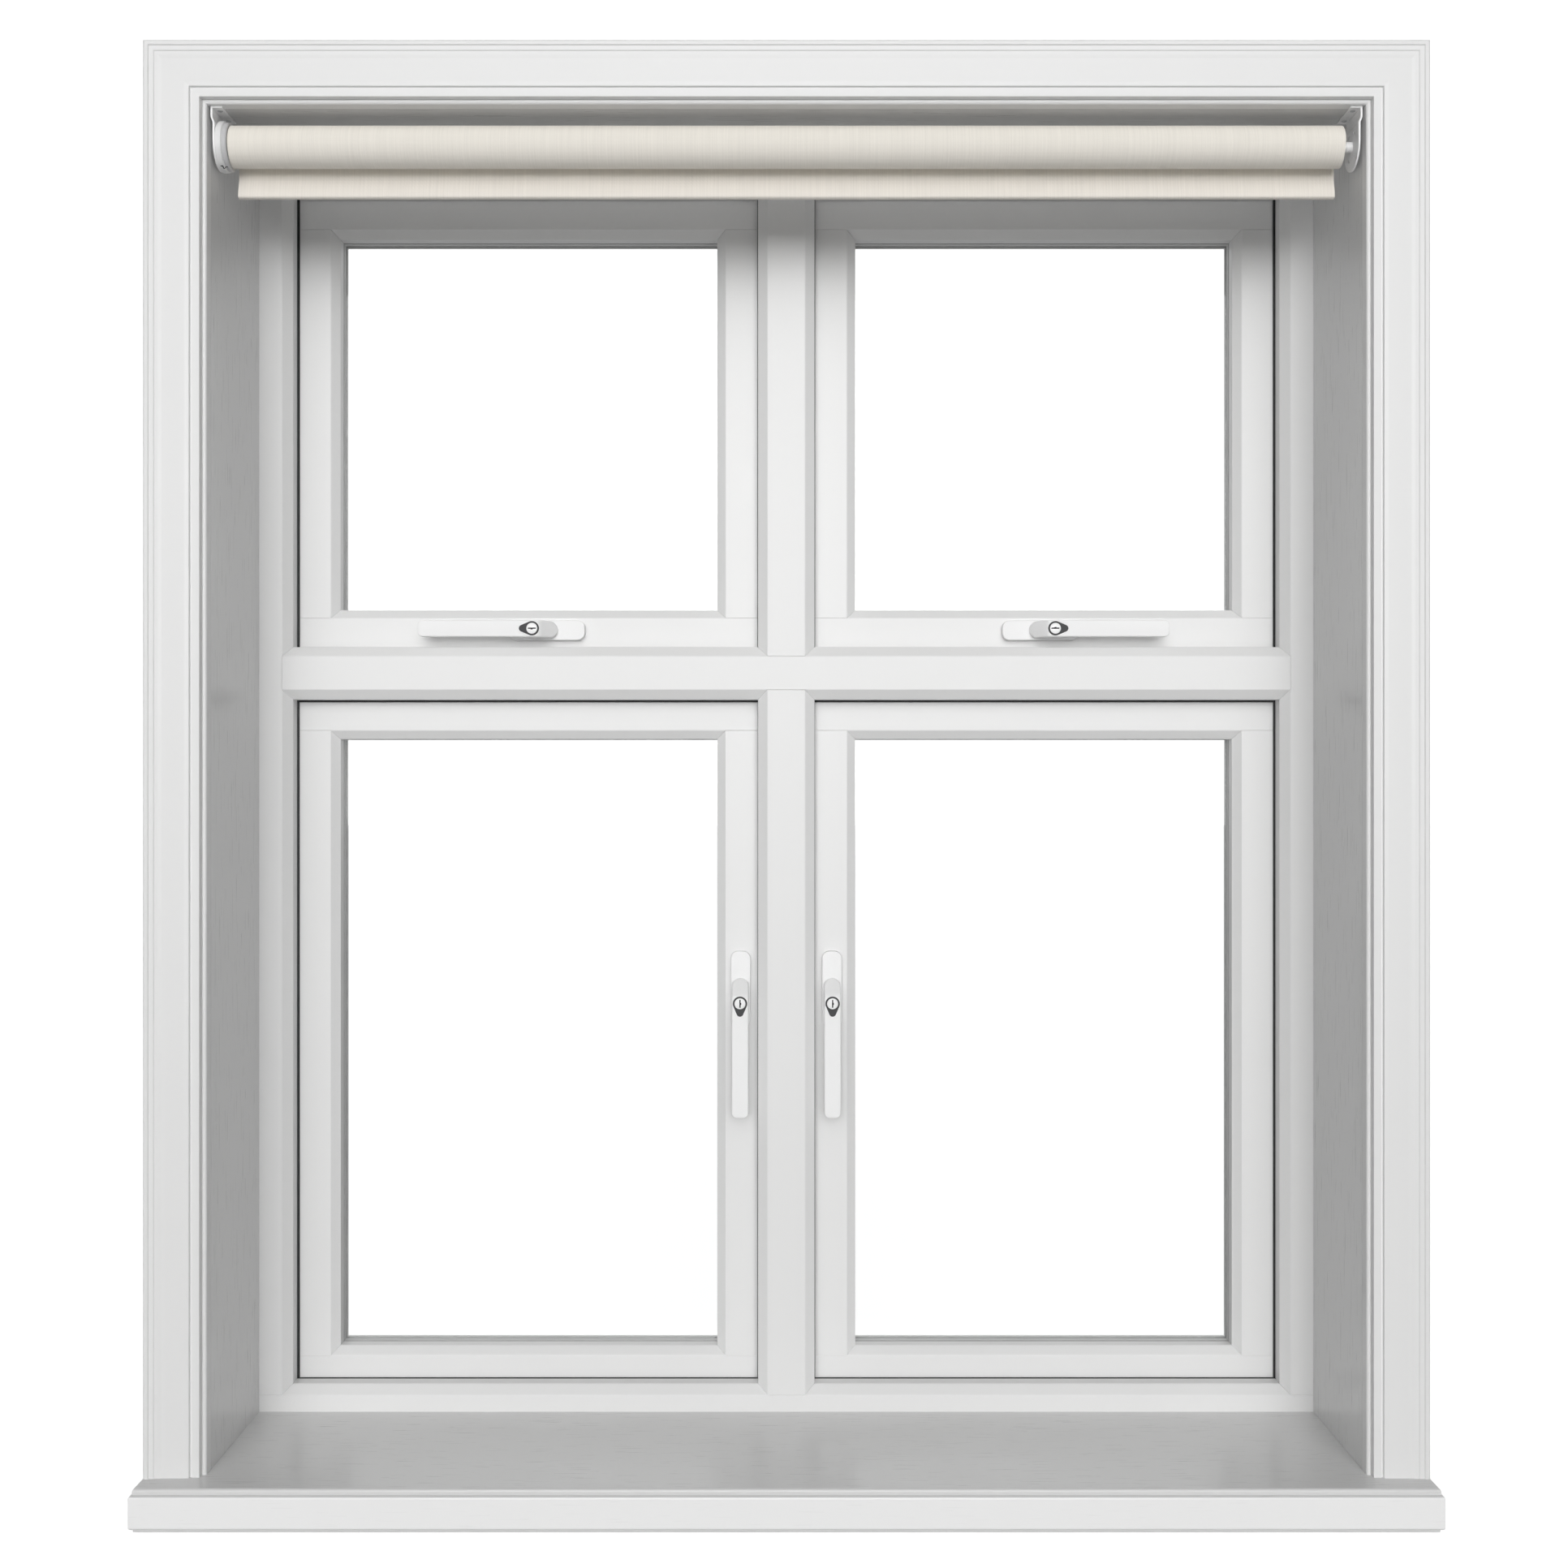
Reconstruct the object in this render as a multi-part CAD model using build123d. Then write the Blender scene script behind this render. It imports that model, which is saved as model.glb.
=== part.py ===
from build123d import *
import os
from collections import namedtuple

# Timber casement window seen from the room: moulded casings, window board and deep
# linings around a frame with two side-hung lower sashes and two top-hung upper
# sashes, each with a locking handle, and a roller blind under the head lining.
# +X is to the right seen from the room, +Y is outdoors, +Z is up. The origin is on
# the underside of the window board, in the wall's inner plane, on the centre line.

# ------------------------------------------------------------------ driving sizes

# reveal: the clear space between the linings
reveal_width = 1100.0
reveal_height = 1300.0
reveal_depth = 167.5
lining_thickness = 18.0

# window board
board_thickness = 41.0
board_projection = 52.0
board_horn = 4.5
board_top_bead = 5.8
board_bead_setback = 3.0
board_foot_bead = 3.2
board_foot_setback = 3.6
board_round = 3.0

# casings
casing_width = 57.0
casing_thickness = 24.5
casing_step = 1.1
casing_fillet_drop = 4.3
casing_bead_drop = 11.0

# frame
frame_depth = 63.5
frame_shoulder = 10.0
frame_chamfer_depth = 7.5
jamb_flat = 23.5
head_flat = 16.0
sill_flat = 17.3
mullion_flat = 39.3
transom_flat = 35.0
transom_height = 794.6
stop_depth = 24.0
gasket_room = 3.0
gasket_clearance = 0.2
gasket_seat = 6.0
gasket_lip = 0.5
gasket_lip_jamb = 1.7
gasket_lip_transom = 2.0
sill_nose = 32.0
sill_nose_height = 38.0
sill_weathering_drop = 13.0
drip_groove_radius = 4.0
drip_groove_inset = 10.0
fixing_hole_radius = 4.0
fixing_spacing = 350.0
fixing_inset = 150.0
fixing_setback = 43.5

# sashes
stile_cover = 43.6
rail_cover = 41.0
bottom_rail_cover = 32.4
sash_shoulder = 9.0
sash_chamfer_depth = 7.3
sash_edge_gap = 4.0
flange_overlap = 10.0
flange_thickness = 12.0
flange_gap = 0.4

# sealed glass units
pane_setback = 14.0
pane_thickness = 4.0
pane_cavity = 8.0
pane_clearance = 2.0
glazing_tape = 1.0
bead_setback = 1.5
bead_bevel = 4.0

# hinges
hinge_length = 74.0
hinge_leaf = 2.5
hinge_leaf_reach = 22.0
hinge_sash_reach = 28.0
hinge_knuckle_radius = 7.0
hinge_edge_gap = 1.2
hinge_inset_side = 120.0
hinge_inset_top = 95.0
hinge_middle_share = 0.34
hinge_pin_radius = 3.0
hinge_pin_head_radius = 5.0
hinge_pin_head = 1.5
knuckle_gap = 0.3
turning_gap = 0.4
running_gap = 0.05

# handles, measured from the pivot along the lever and out from the sash face; the upper
# ones are shifted along their rail from the middle of their light
handle_setback = 18.5
lower_handle_height = 480.0
upper_left_handle_shift = 20.775
upper_right_handle_shift = -5.575
plate_length = 80.0
plate_width = 20.3
plate_thickness = 10.0
plate_edge_round = 3.0
plate_gap = 0.3
lever_width = 17.2
lever_reach = 131.0
lever_hub = 13.7
lever_height = 35.0
lever_arm_thickness = 9.0
lever_hub_lip = 3.5
lever_slope_end = 4.7
lever_hub_foot = 21.0
lever_end_round = 5.0
neck_radius = 6.0
neck_length = 7.0
spindle_width = 7.0
spindle_end_gap = 1.5
spindle_hole_gap = 1.0

# key lock in each lever
lock_offset = 12.3
lock_radius = 5.85
lock_ring_radius = 7.25
lock_tip = 13.4
lock_tip_radius = 3.4
lock_recess = 1.2
lock_depth = 19.0
lock_setback = 0.2
key_slot_length = 7.6
key_slot_width = 1.1
key_slot_depth = 6.0

# locking gear in each sash edge
gear_case_depth = 34.0
gear_case_width = 14.0
gear_case_length = 70.0
gear_setback = 17.5
rod_thickness = 2.5
rod_width = 12.0
rod_sink = 2.0
rod_half_length_side = 200.0
rod_half_length_top = 185.0
rod_travel = 18.0
groove_gap = 1.0
cam_radius = 3.5
cam_projection = 2.5
cam_offset_side = 170.0
cam_offset_top = 140.0
keep_length = 60.0
keep_width = 16.0
keep_thickness = 2.0
keep_slot_length = 30.0
keep_slot_width = 8.0
seat_gap = 0.1

# roller blind
roll_radius = 20.1
roll_end_gap = 10.9
roll_axis_y = 15.3
roll_axis_drop = 31.7
tube_radius = 16.0
tube_wall = 1.2
blind_end_gap = 0.3
bracket_gap = 2.1
bracket_thickness = 1.8
bracket_width = 46.0
bracket_joggle = 1.9
bracket_joggle_drop = 10.0
bracket_joggle_height = 5.0
bracket_flange = 11.2
bracket_flange_thickness = 1.5
clutch_rim = 3.9
clutch_step_rim = 2.9
clutch_step_length = 4.4
chain_slot_width = 4.0
chain_slot_depth = 4.5
chain_slot_reach = 9.0
spigot_length = 28.0
end_plug_length = 20.0
end_pin_radius = 4.0
end_pin_length = 16.0
end_boss_radius = 5.0
end_boss_length = 6.0
fabric_thickness = 0.5
fabric_gap = 0.05
hem_height = 22.0
hem_thickness = 8.0
hem_drop = 75.4
hem_setback = 0.3

# ------------------------------------------------------------------ derived places

reveal_half = reveal_width / 2
reveal_top = board_thickness + reveal_height
frame_half = reveal_half + lining_thickness
frame_top = reveal_top + lining_thickness
frame_outer = reveal_depth + frame_depth
stop_back = reveal_depth + stop_depth
sash_face = stop_back + gasket_room
flange_back = frame_outer + flange_gap
sash_outer = flange_back + flange_thickness
sash_lip = frame_shoulder - sash_edge_gap
flange_reach = frame_shoulder + flange_overlap
casing_half = reveal_half + casing_width
casing_top = reveal_top + casing_width
pane_face = sash_face + sash_chamfer_depth + pane_setback
rebate_floor = pane_face - glazing_tape
bead_back = pane_face + 2 * pane_thickness + pane_cavity + glazing_tape
bracket_face = reveal_half - bracket_gap - bracket_joggle - bracket_thickness
roll_half_length = bracket_face - roll_end_gap
hem_half_length = roll_half_length - hem_setback
clutch_radius = roll_radius + clutch_rim
clutch_step_radius = roll_radius + clutch_step_rim

Rect = namedtuple("Rect", "x0 x1 z0 z1")
Sash = namedtuple("Sash", "light bottom_cover hinge_side pivot lever_way lock_way")
ROOM = Vector(0, -1, 0)
OUTDOORS = Vector(0, 1, 0)
RIGHT = Vector(1, 0, 0)
LEFT = Vector(-1, 0, 0)
UP = Vector(0, 0, 1)
DOWN = Vector(0, 0, -1)

outer_sight = reveal_half - jamb_flat - frame_shoulder
inner_sight = mullion_flat / 2 + frame_shoulder
lower_sight = board_thickness + sill_flat + frame_shoulder
transom_under = transom_height - frame_shoulder
transom_over = transom_height + transom_flat + frame_shoulder
upper_sight = reveal_top - head_flat - frame_shoulder

lights = {
    "lower_left": Rect(-outer_sight, -inner_sight, lower_sight, transom_under),
    "lower_right": Rect(inner_sight, outer_sight, lower_sight, transom_under),
    "upper_left": Rect(-outer_sight, -inner_sight, transom_over, upper_sight),
    "upper_right": Rect(inner_sight, outer_sight, transom_over, upper_sight),
}

light_middle = (outer_sight + inner_sight) / 2
handle_x = inner_sight + handle_setback
handle_z = transom_over + handle_setback
sashes = {
    "lower_left": Sash(
        lights["lower_left"], bottom_rail_cover, LEFT,
        Vector(-handle_x, sash_face, lower_handle_height), DOWN, RIGHT,
    ),
    "lower_right": Sash(
        lights["lower_right"], bottom_rail_cover, RIGHT,
        Vector(handle_x, sash_face, lower_handle_height), DOWN, LEFT,
    ),
    "upper_left": Sash(
        lights["upper_left"], rail_cover, UP,
        Vector(upper_left_handle_shift - light_middle, sash_face, handle_z), LEFT, DOWN,
    ),
    "upper_right": Sash(
        lights["upper_right"], rail_cover, UP,
        Vector(upper_right_handle_shift + light_middle, sash_face, handle_z), RIGHT, DOWN,
    ),
}

# ------------------------------------------------------------------ small helpers


def grown(rect, amount):
    """The rectangle with each side moved outwards by this amount."""
    return Rect(rect.x0 - amount, rect.x1 + amount, rect.z0 - amount, rect.z1 + amount)


def box_between(a, b):
    """Box with opposite corners at a and b."""
    size = Vector(abs(b.X - a.X), abs(b.Y - a.Y), abs(b.Z - a.Z))
    middle = (a + b) * 0.5
    return Pos(middle.X, middle.Y, middle.Z) * Box(size.X, size.Y, size.Z)


def slab(rect, y0, y1):
    """Box that covers a rectangle of the wall plane from depth y0 to depth y1."""
    return box_between(Vector(rect.x0, y0, rect.z0), Vector(rect.x1, y1, rect.z1))


def prism(points, way):
    """Solid from a closed outline of 3-D points, extruded by a vector."""
    outline = Wire.make_polygon([Vector(*p) for p in points], close=True)
    return Solid.extrude(Face(outline), Vector(*way))


def wall_prism(points, y0, y1):
    """Solid from an outline of (x, z) points, from depth y0 to depth y1."""
    return prism([(x, y0, z) for x, z in points], (0, y1 - y0, 0))


def cylinder(a, b, radius):
    """Round bar from point a to point b."""
    axis = b - a
    return Plane(origin=a, z_dir=axis).location * Cylinder(
        radius, axis.length, align=(Align.CENTER, Align.CENTER, Align.MIN)
    )


def section(corners, origin, u_way, v_way, length):
    """Moulding: (u, v, round) corners in the plane of u_way and v_way, extruded by length."""
    outline = FilletPolyline(
        *[(u, v) for u, v, _ in corners], radius=[r for _, _, r in corners], close=True
    )
    plane = Plane(origin=origin, x_dir=u_way, z_dir=u_way.cross(v_way))
    return Solid.extrude(plane.location * make_face(outline).face(), length)


def frustum(near, near_y, far, far_y):
    """Bevelled hole from one rectangle of the wall plane to another."""
    rings = [
        Wire.make_polygon(
            [(r.x0, y, r.z0), (r.x1, y, r.z0), (r.x1, y, r.z1), (r.x0, y, r.z1)], close=True
        )
        for r, y in ((near, near_y), (far, far_y))
    ]
    return Solid.make_loft(rings, ruled=True)


def ring_side(inner, outer, side):
    """Outline of one side of the mitred ring between two rectangles."""
    corners = {
        "left": ((outer.x0, outer.z0), (inner.x0, inner.z0), (inner.x0, inner.z1),
                 (outer.x0, outer.z1)),
        "right": ((outer.x1, outer.z0), (inner.x1, inner.z0), (inner.x1, inner.z1),
                  (outer.x1, outer.z1)),
        "bottom": ((outer.x0, outer.z0), (inner.x0, inner.z0), (inner.x1, inner.z0),
                   (outer.x1, outer.z0)),
        "top": ((outer.x0, outer.z1), (inner.x0, inner.z1), (inner.x1, inner.z1),
                (outer.x1, outer.z1)),
    }
    return corners[side]


def outline_of(rect):
    """The four corners of a rectangle as an outline."""
    return ((rect.x0, rect.z0), (rect.x1, rect.z0), (rect.x1, rect.z1), (rect.x0, rect.z1))


def member(whole, outlines, y0, y1):
    """The part of a whole that lies inside the given outlines, as one piece of wood."""
    cutter = wall_prism(outlines[0], y0, y1)
    for outline in outlines[1:]:
        cutter = cutter + wall_prism(outline, y0, y1)
    return whole & cutter


def save(name, *solids):
    """Write one node: a single solid, or a group of separate solids."""
    made = [s for piece in solids for s in piece.solids()]
    shape = made[0] if len(made) == 1 else Compound(children=made)
    export_step(shape, f"parts/{name}.step")


# ------------------------------------------------------------------ casings and board


def casing_corners():
    """Casing profile: u runs from the outer edge to the reveal, v from the wall outwards."""
    t = casing_thickness
    w = casing_width
    field = t - 2.2 * casing_step
    fillet = t - casing_fillet_drop
    bead = t - casing_bead_drop
    return [
        (0, 0, 0),
        (0, t, 2.0),
        (4.6, t, 0.6),
        (5.5, t - casing_step, 0),
        (9.6, t - casing_step, 0.6),
        (10.5, t - 1.7 * casing_step, 0),
        (14.0, t - 1.7 * casing_step, 1.5),
        (17.0, field, 2.0),
        (w - 18.5, field, 6.0),
        (w - 14.2, field - 0.5, 0.5),
        (w - 13.4, fillet - 1.2, 0),
        (w - 12.2, fillet - 1.2, 0),
        (w - 11.8, fillet, 0.3),
        (w - 4.7, fillet, 0.5),
        (w - 4.4, bead - 1.0, 0),
        (w - 3.6, bead, 0.8),
        (w, bead, 2.6),
        (w, 0, 0),
    ]


def make_casings():
    """Head and side casings, mitred at the top corners and standing on the window board."""
    inner = Rect(-reveal_half, reveal_half, board_thickness, reveal_top)
    outer = Rect(-casing_half, casing_half, board_thickness, casing_top)
    side_length = casing_top - board_thickness
    for name, side, x, u_way in (
        ("casing_left", "left", -casing_half, RIGHT),
        ("casing_right", "right", casing_half, LEFT),
    ):
        # the section's own normal is up or down, so the bar starts at the end it leaves
        start = board_thickness if u_way.cross(ROOM).Z > 0 else casing_top
        way = u_way.cross(ROOM) * side_length
        bar = section(casing_corners(), Vector(x, 0, start), u_way, ROOM, way)
        save(name, member(bar, [ring_side(inner, outer, side)], -casing_thickness - 1, 1))
    way = DOWN.cross(ROOM) * (2 * casing_half)
    start = -casing_half if way.X > 0 else casing_half
    bar = section(casing_corners(), Vector(start, 0, casing_top), DOWN, ROOM, way)
    save("casing_head", member(bar, [ring_side(inner, outer, "top")], -casing_thickness - 1, 1))


def board_edge_corners(reach):
    """Edge profile of the board, u measured in from the body's face, v up from the underside."""
    return [
        (reach, 0, 0),
        (board_foot_setback, 0, 1.5),
        (board_foot_setback, board_foot_bead, 0),
        (0, board_foot_bead, board_round),
        (0, board_thickness - board_top_bead, board_round),
        (board_bead_setback, board_thickness - board_top_bead, 0),
        (board_bead_setback, board_thickness, 2.7),
        (reach, board_thickness, 0),
    ]


def make_window_board():
    """Window board with a beaded front edge that returns around both horns."""
    half = casing_half + board_horn
    front = section(
        board_edge_corners(board_projection), Vector(-half, -board_projection, 0),
        OUTDOORS, UP, OUTDOORS.cross(UP) * (2 * half),
    )
    ends = []
    for x, u_way in ((-half, RIGHT), (half, LEFT)):
        way = u_way.cross(UP) * board_projection
        start = 0 if way.Y < 0 else -board_projection
        ends.append(section(board_edge_corners(half), Vector(x, start, 0), u_way, UP, way))
    nose = front & (ends[0] + ends[1])
    slab_part = slab(Rect(-frame_half, frame_half, 0, board_thickness), 0, reveal_depth)
    save("window_board", nose + slab_part)


def make_linings():
    """Side linings that stand on the board and carry the head lining."""
    for name, sign in (("lining_left", -1), ("lining_right", 1)):
        x = sorted((sign * reveal_half, sign * frame_half))
        save(name, slab(Rect(x[0], x[1], board_thickness, reveal_top), 0, reveal_depth))
    save("lining_head", slab(Rect(-frame_half, frame_half, reveal_top, frame_top), 0, reveal_depth))


# ------------------------------------------------------------------ frame


def handle_point(sash, along, across, out):
    """A point of a sash: along its lever, across towards its lock edge, out into the room."""
    return sash.pivot + sash.lever_way * along + sash.lock_way * across + ROOM * out


def is_side_hung(sash):
    """Whether the sash turns about an upright edge."""
    return sash.hinge_side.Z == 0


def cam_offset(sash):
    """Distance of each cam from the handle pivot, along the drive rod."""
    return cam_offset_side if is_side_hung(sash) else cam_offset_top


def keep_block(sash, along, extra):
    """Keep plate, or its pocket when extra is the gap around it."""
    rebate = handle_setback + frame_shoulder
    half_length = keep_length / 2 + extra
    half_width = keep_width / 2 + extra
    return box_between(
        handle_point(sash, along - half_length, rebate, -gear_setback - half_width),
        handle_point(sash, along + half_length, rebate + keep_thickness + extra,
                     -gear_setback + half_width),
    )


def fixing_holes():
    """Frame fixing holes through both jambs, in the rebate behind the sash edges."""
    y = reveal_depth + fixing_setback
    lowest = fixing_inset
    highest = frame_top - fixing_inset
    heights = (lowest, lowest + fixing_spacing, highest - fixing_spacing, highest)
    rebate = outer_sight + frame_shoulder
    holes = []
    for sign in (-1, 1):
        for z in heights:
            inner = Vector(sign * (rebate - 1), y, z)
            outer = Vector(sign * (frame_half + 1), y, z)
            holes.append(cylinder(inner, outer, fixing_hole_radius))
    return holes


def frame_whole():
    """The frame as one body, with the four rebated lights, the weathered sill and the pockets."""
    whole = slab(Rect(-frame_half, frame_half, 0, frame_top), reveal_depth, frame_outer)
    nose_y = frame_outer + sill_nose
    weathering_top = board_thickness + sill_flat - sill_weathering_drop
    sill_outline = (
        (frame_outer - 5, 0),
        (nose_y, 0),
        (nose_y, sill_nose_height),
        (frame_outer, weathering_top),
        (frame_outer - 5, weathering_top),
    )
    nose = prism([(-frame_half, y, z) for y, z in sill_outline], (2 * frame_half, 0, 0))
    groove_y = nose_y - drip_groove_inset
    groove = cylinder(
        Vector(-frame_half - 1, groove_y, 0), Vector(frame_half + 1, groove_y, 0),
        drip_groove_radius,
    )
    whole = whole + nose - groove
    for light in lights.values():
        shoulder = grown(light, frame_shoulder)
        whole -= slab(light, reveal_depth - 1, frame_outer + 1)
        whole -= frustum(shoulder, reveal_depth, light, reveal_depth + frame_chamfer_depth)
        whole -= slab(shoulder, stop_back, frame_outer + 1)
    for sash in sashes.values():
        for way in (-1, 1):
            whole -= keep_block(sash, way * cam_offset(sash), seat_gap)
    for hole in fixing_holes():
        whole -= hole
    return whole


def make_frame():
    """Sill, head, jambs, transom and mullions, scribed to each other along the chamfers."""
    whole = frame_whole()
    y0 = reveal_depth - 1
    y1 = frame_outer + sill_nose + 1
    shoulders = {name: grown(light, frame_shoulder) for name, light in lights.items()}

    def sides(side, *names):
        return [ring_side(lights[n], shoulders[n], side) for n in names]

    rebate_x = outer_sight + frame_shoulder
    bar_x = inner_sight - frame_shoulder
    sill_top = lower_sight - frame_shoulder
    head_under = upper_sight + frame_shoulder
    transom_top = transom_height + transom_flat
    members = {
        "frame_sill": [outline_of(Rect(-frame_half, frame_half, 0, sill_top))]
        + sides("bottom", "lower_left", "lower_right"),
        "frame_head": [outline_of(Rect(-frame_half, frame_half, head_under, frame_top))]
        + sides("top", "upper_left", "upper_right"),
        "frame_jamb_left": [outline_of(Rect(-frame_half, -rebate_x, sill_top, head_under))]
        + sides("left", "lower_left", "upper_left"),
        "frame_jamb_right": [outline_of(Rect(rebate_x, frame_half, sill_top, head_under))]
        + sides("right", "lower_right", "upper_right"),
        "transom": [outline_of(Rect(-rebate_x, rebate_x, transom_height, transom_top))]
        + sides("top", "lower_left", "lower_right")
        + sides("bottom", "upper_left", "upper_right"),
        "mullion_lower": [outline_of(Rect(-bar_x, bar_x, sill_top, transom_height))]
        + sides("right", "lower_left")
        + sides("left", "lower_right"),
        "mullion_upper": [outline_of(Rect(-bar_x, bar_x, transom_top, head_under))]
        + sides("right", "upper_left")
        + sides("left", "upper_right"),
    }
    for name, outlines in members.items():
        save(name, member(whole, outlines, y0, y1))


def gasket_strips(name, light):
    """Four weather seal strips on the stop of one light, their lips past the stop's edge."""
    y0 = stop_back
    y1 = sash_face - gasket_clearance
    left_lip = gasket_lip_jamb if light.x0 == -outer_sight else gasket_lip
    right_lip = gasket_lip_jamb if light.x1 == outer_sight else gasket_lip
    top_lip = gasket_lip_transom if name.startswith("lower") else gasket_lip
    outer = grown(light, gasket_seat)
    inner = Rect(
        light.x0 + left_lip, light.x1 - right_lip, light.z0 + gasket_lip, light.z1 - top_lip
    )
    return [
        slab(Rect(outer.x0, inner.x0, outer.z0, outer.z1), y0, y1),
        slab(Rect(inner.x1, outer.x1, outer.z0, outer.z1), y0, y1),
        slab(Rect(inner.x0, inner.x1, outer.z0, inner.z0), y0, y1),
        slab(Rect(inner.x0, inner.x1, inner.z1, outer.z1), y0, y1),
    ]


def make_frame_furniture():
    """Weather seals and the keep plates that the cams pass."""
    strips = [s for name, light in lights.items() for s in gasket_strips(name, light)]
    save("frame_gaskets", *strips)
    keeps = []
    for sash in sashes.values():
        for way in (-1, 1):
            along = way * cam_offset(sash)
            rebate = handle_setback + frame_shoulder
            slot = box_between(
                handle_point(sash, along - keep_slot_length / 2, rebate - 1,
                             -gear_setback - keep_slot_width / 2),
                handle_point(sash, along + keep_slot_length / 2, rebate + keep_thickness + 1,
                             -gear_setback + keep_slot_width / 2),
            )
            keeps.append(keep_block(sash, along, 0) - slot)
    save("lock_keeps", *keeps)


# ------------------------------------------------------------------ hinges


def hinge_frames(sash):
    """The two hinges of a sash: (centre on the flange edge, way along the pin)."""
    light = sash.light
    edge = grown(light, flange_reach)
    if sash.hinge_side == UP:
        places = [(light.x0 + hinge_inset_top, edge.z1), (light.x1 - hinge_inset_top, edge.z1)]
        along = RIGHT
    else:
        x = edge.x0 if sash.hinge_side == LEFT else edge.x1
        places = [(x, light.z0 + hinge_inset_side), (x, light.z1 - hinge_inset_side)]
        along = UP
    return [(Vector(x, frame_outer, z), along) for x, z in places]


def hinge_point(sash, centre, along, a, o, y):
    """A point of a hinge: a along the pin, o away from the sash, y outdoors."""
    return centre + along * a + sash.hinge_side * o + OUTDOORS * y


def hinge_axis_offsets():
    """Pin axis: distance beyond the flange edge, and height over the frame's outer face."""
    across = hinge_edge_gap + hinge_knuckle_radius
    out = flange_gap + flange_thickness + hinge_leaf - hinge_knuckle_radius - seat_gap
    return across, out


def knuckle(sash, centre, along, a0, a1, radius):
    """Round barrel on the pin axis from a0 to a1."""
    across, out = hinge_axis_offsets()
    return cylinder(
        hinge_point(sash, centre, along, a0, across, out),
        hinge_point(sash, centre, along, a1, across, out),
        radius,
    )


def frame_leaf(sash, centre, along):
    """Leaf on the frame with the two outer barrels, and its pin."""
    half = hinge_length / 2
    middle = hinge_length * hinge_middle_share / 2
    across, _ = hinge_axis_offsets()

    def plate(a0, a1, o0):
        return box_between(
            hinge_point(sash, centre, along, a0, o0, 0),
            hinge_point(sash, centre, along, a1, hinge_leaf_reach, hinge_leaf),
        )

    clear = across + hinge_knuckle_radius + turning_gap
    leaf = plate(-half, half, clear)
    for a0, a1 in ((-half, -middle - knuckle_gap), (middle + knuckle_gap, half)):
        leaf += plate(a0, a1, across)
        leaf += knuckle(sash, centre, along, a0, a1, hinge_knuckle_radius)
    bore = knuckle(sash, centre, along, -half - 1, half + 1, hinge_pin_radius + running_gap)
    pin = knuckle(sash, centre, along, -half, half, hinge_pin_radius)
    head = knuckle(sash, centre, along, half, half + hinge_pin_head, hinge_pin_head_radius)
    return [leaf - bore, pin + head]


def sash_leaf(sash, centre, along):
    """Leaf on the sash flange with the middle barrel."""
    half = hinge_length / 2
    middle = hinge_length * hinge_middle_share / 2
    across, _ = hinge_axis_offsets()
    y0 = sash_outer - frame_outer
    clear = across - hinge_knuckle_radius - turning_gap

    def plate(a0, a1, o1):
        return box_between(
            hinge_point(sash, centre, along, a0, -hinge_sash_reach, y0),
            hinge_point(sash, centre, along, a1, o1, y0 + hinge_leaf),
        )

    leaf = plate(-half, half, clear) + plate(-middle, middle, across)
    leaf += knuckle(sash, centre, along, -middle, middle, hinge_knuckle_radius)
    bore = knuckle(sash, centre, along, -half, half, hinge_pin_radius + running_gap)
    return leaf - bore


# ------------------------------------------------------------------ sashes


def sash_sight(sash):
    """The visible glass of a sash."""
    light = sash.light
    return Rect(
        light.x0 + stile_cover, light.x1 - stile_cover,
        light.z0 + sash.bottom_cover, light.z1 - rail_cover,
    )


def rod_half_length(sash):
    """Half the drive rod's length."""
    return rod_half_length_side if is_side_hung(sash) else rod_half_length_top


def lock_edge(sash):
    """Distance from the handle pivot to the sash's lock edge."""
    return handle_setback + sash_lip


def gear_cuts(sash):
    """Groove for the drive rod, pocket for the gear case and hole for the spindle."""
    edge = lock_edge(sash)
    groove_floor = edge - rod_sink - rod_thickness
    half_rod = rod_half_length(sash)
    half_width = rod_width / 2 + groove_gap
    groove = box_between(
        handle_point(sash, -half_rod - groove_gap, groove_floor, -gear_setback - half_width),
        handle_point(sash, half_rod + rod_travel + groove_gap, edge + 1,
                     -gear_setback + half_width),
    )
    pocket = gear_block(sash, seat_gap)
    hole = cylinder(
        handle_point(sash, 0, 0, 1), handle_point(sash, 0, 0, -gear_setback),
        spindle_width / 2**0.5 + spindle_hole_gap,
    )
    return [groove, pocket, hole]


def gear_block(sash, extra):
    """Gear case body in the stile, or its pocket when extra is the gap around it."""
    edge = lock_edge(sash) - rod_sink - rod_thickness
    half_length = gear_case_length / 2 + extra
    half_width = gear_case_width / 2 + extra
    return box_between(
        handle_point(sash, -half_length, edge - gear_case_depth - extra,
                     -gear_setback - half_width),
        handle_point(sash, half_length, edge, -gear_setback + half_width),
    )


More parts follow.
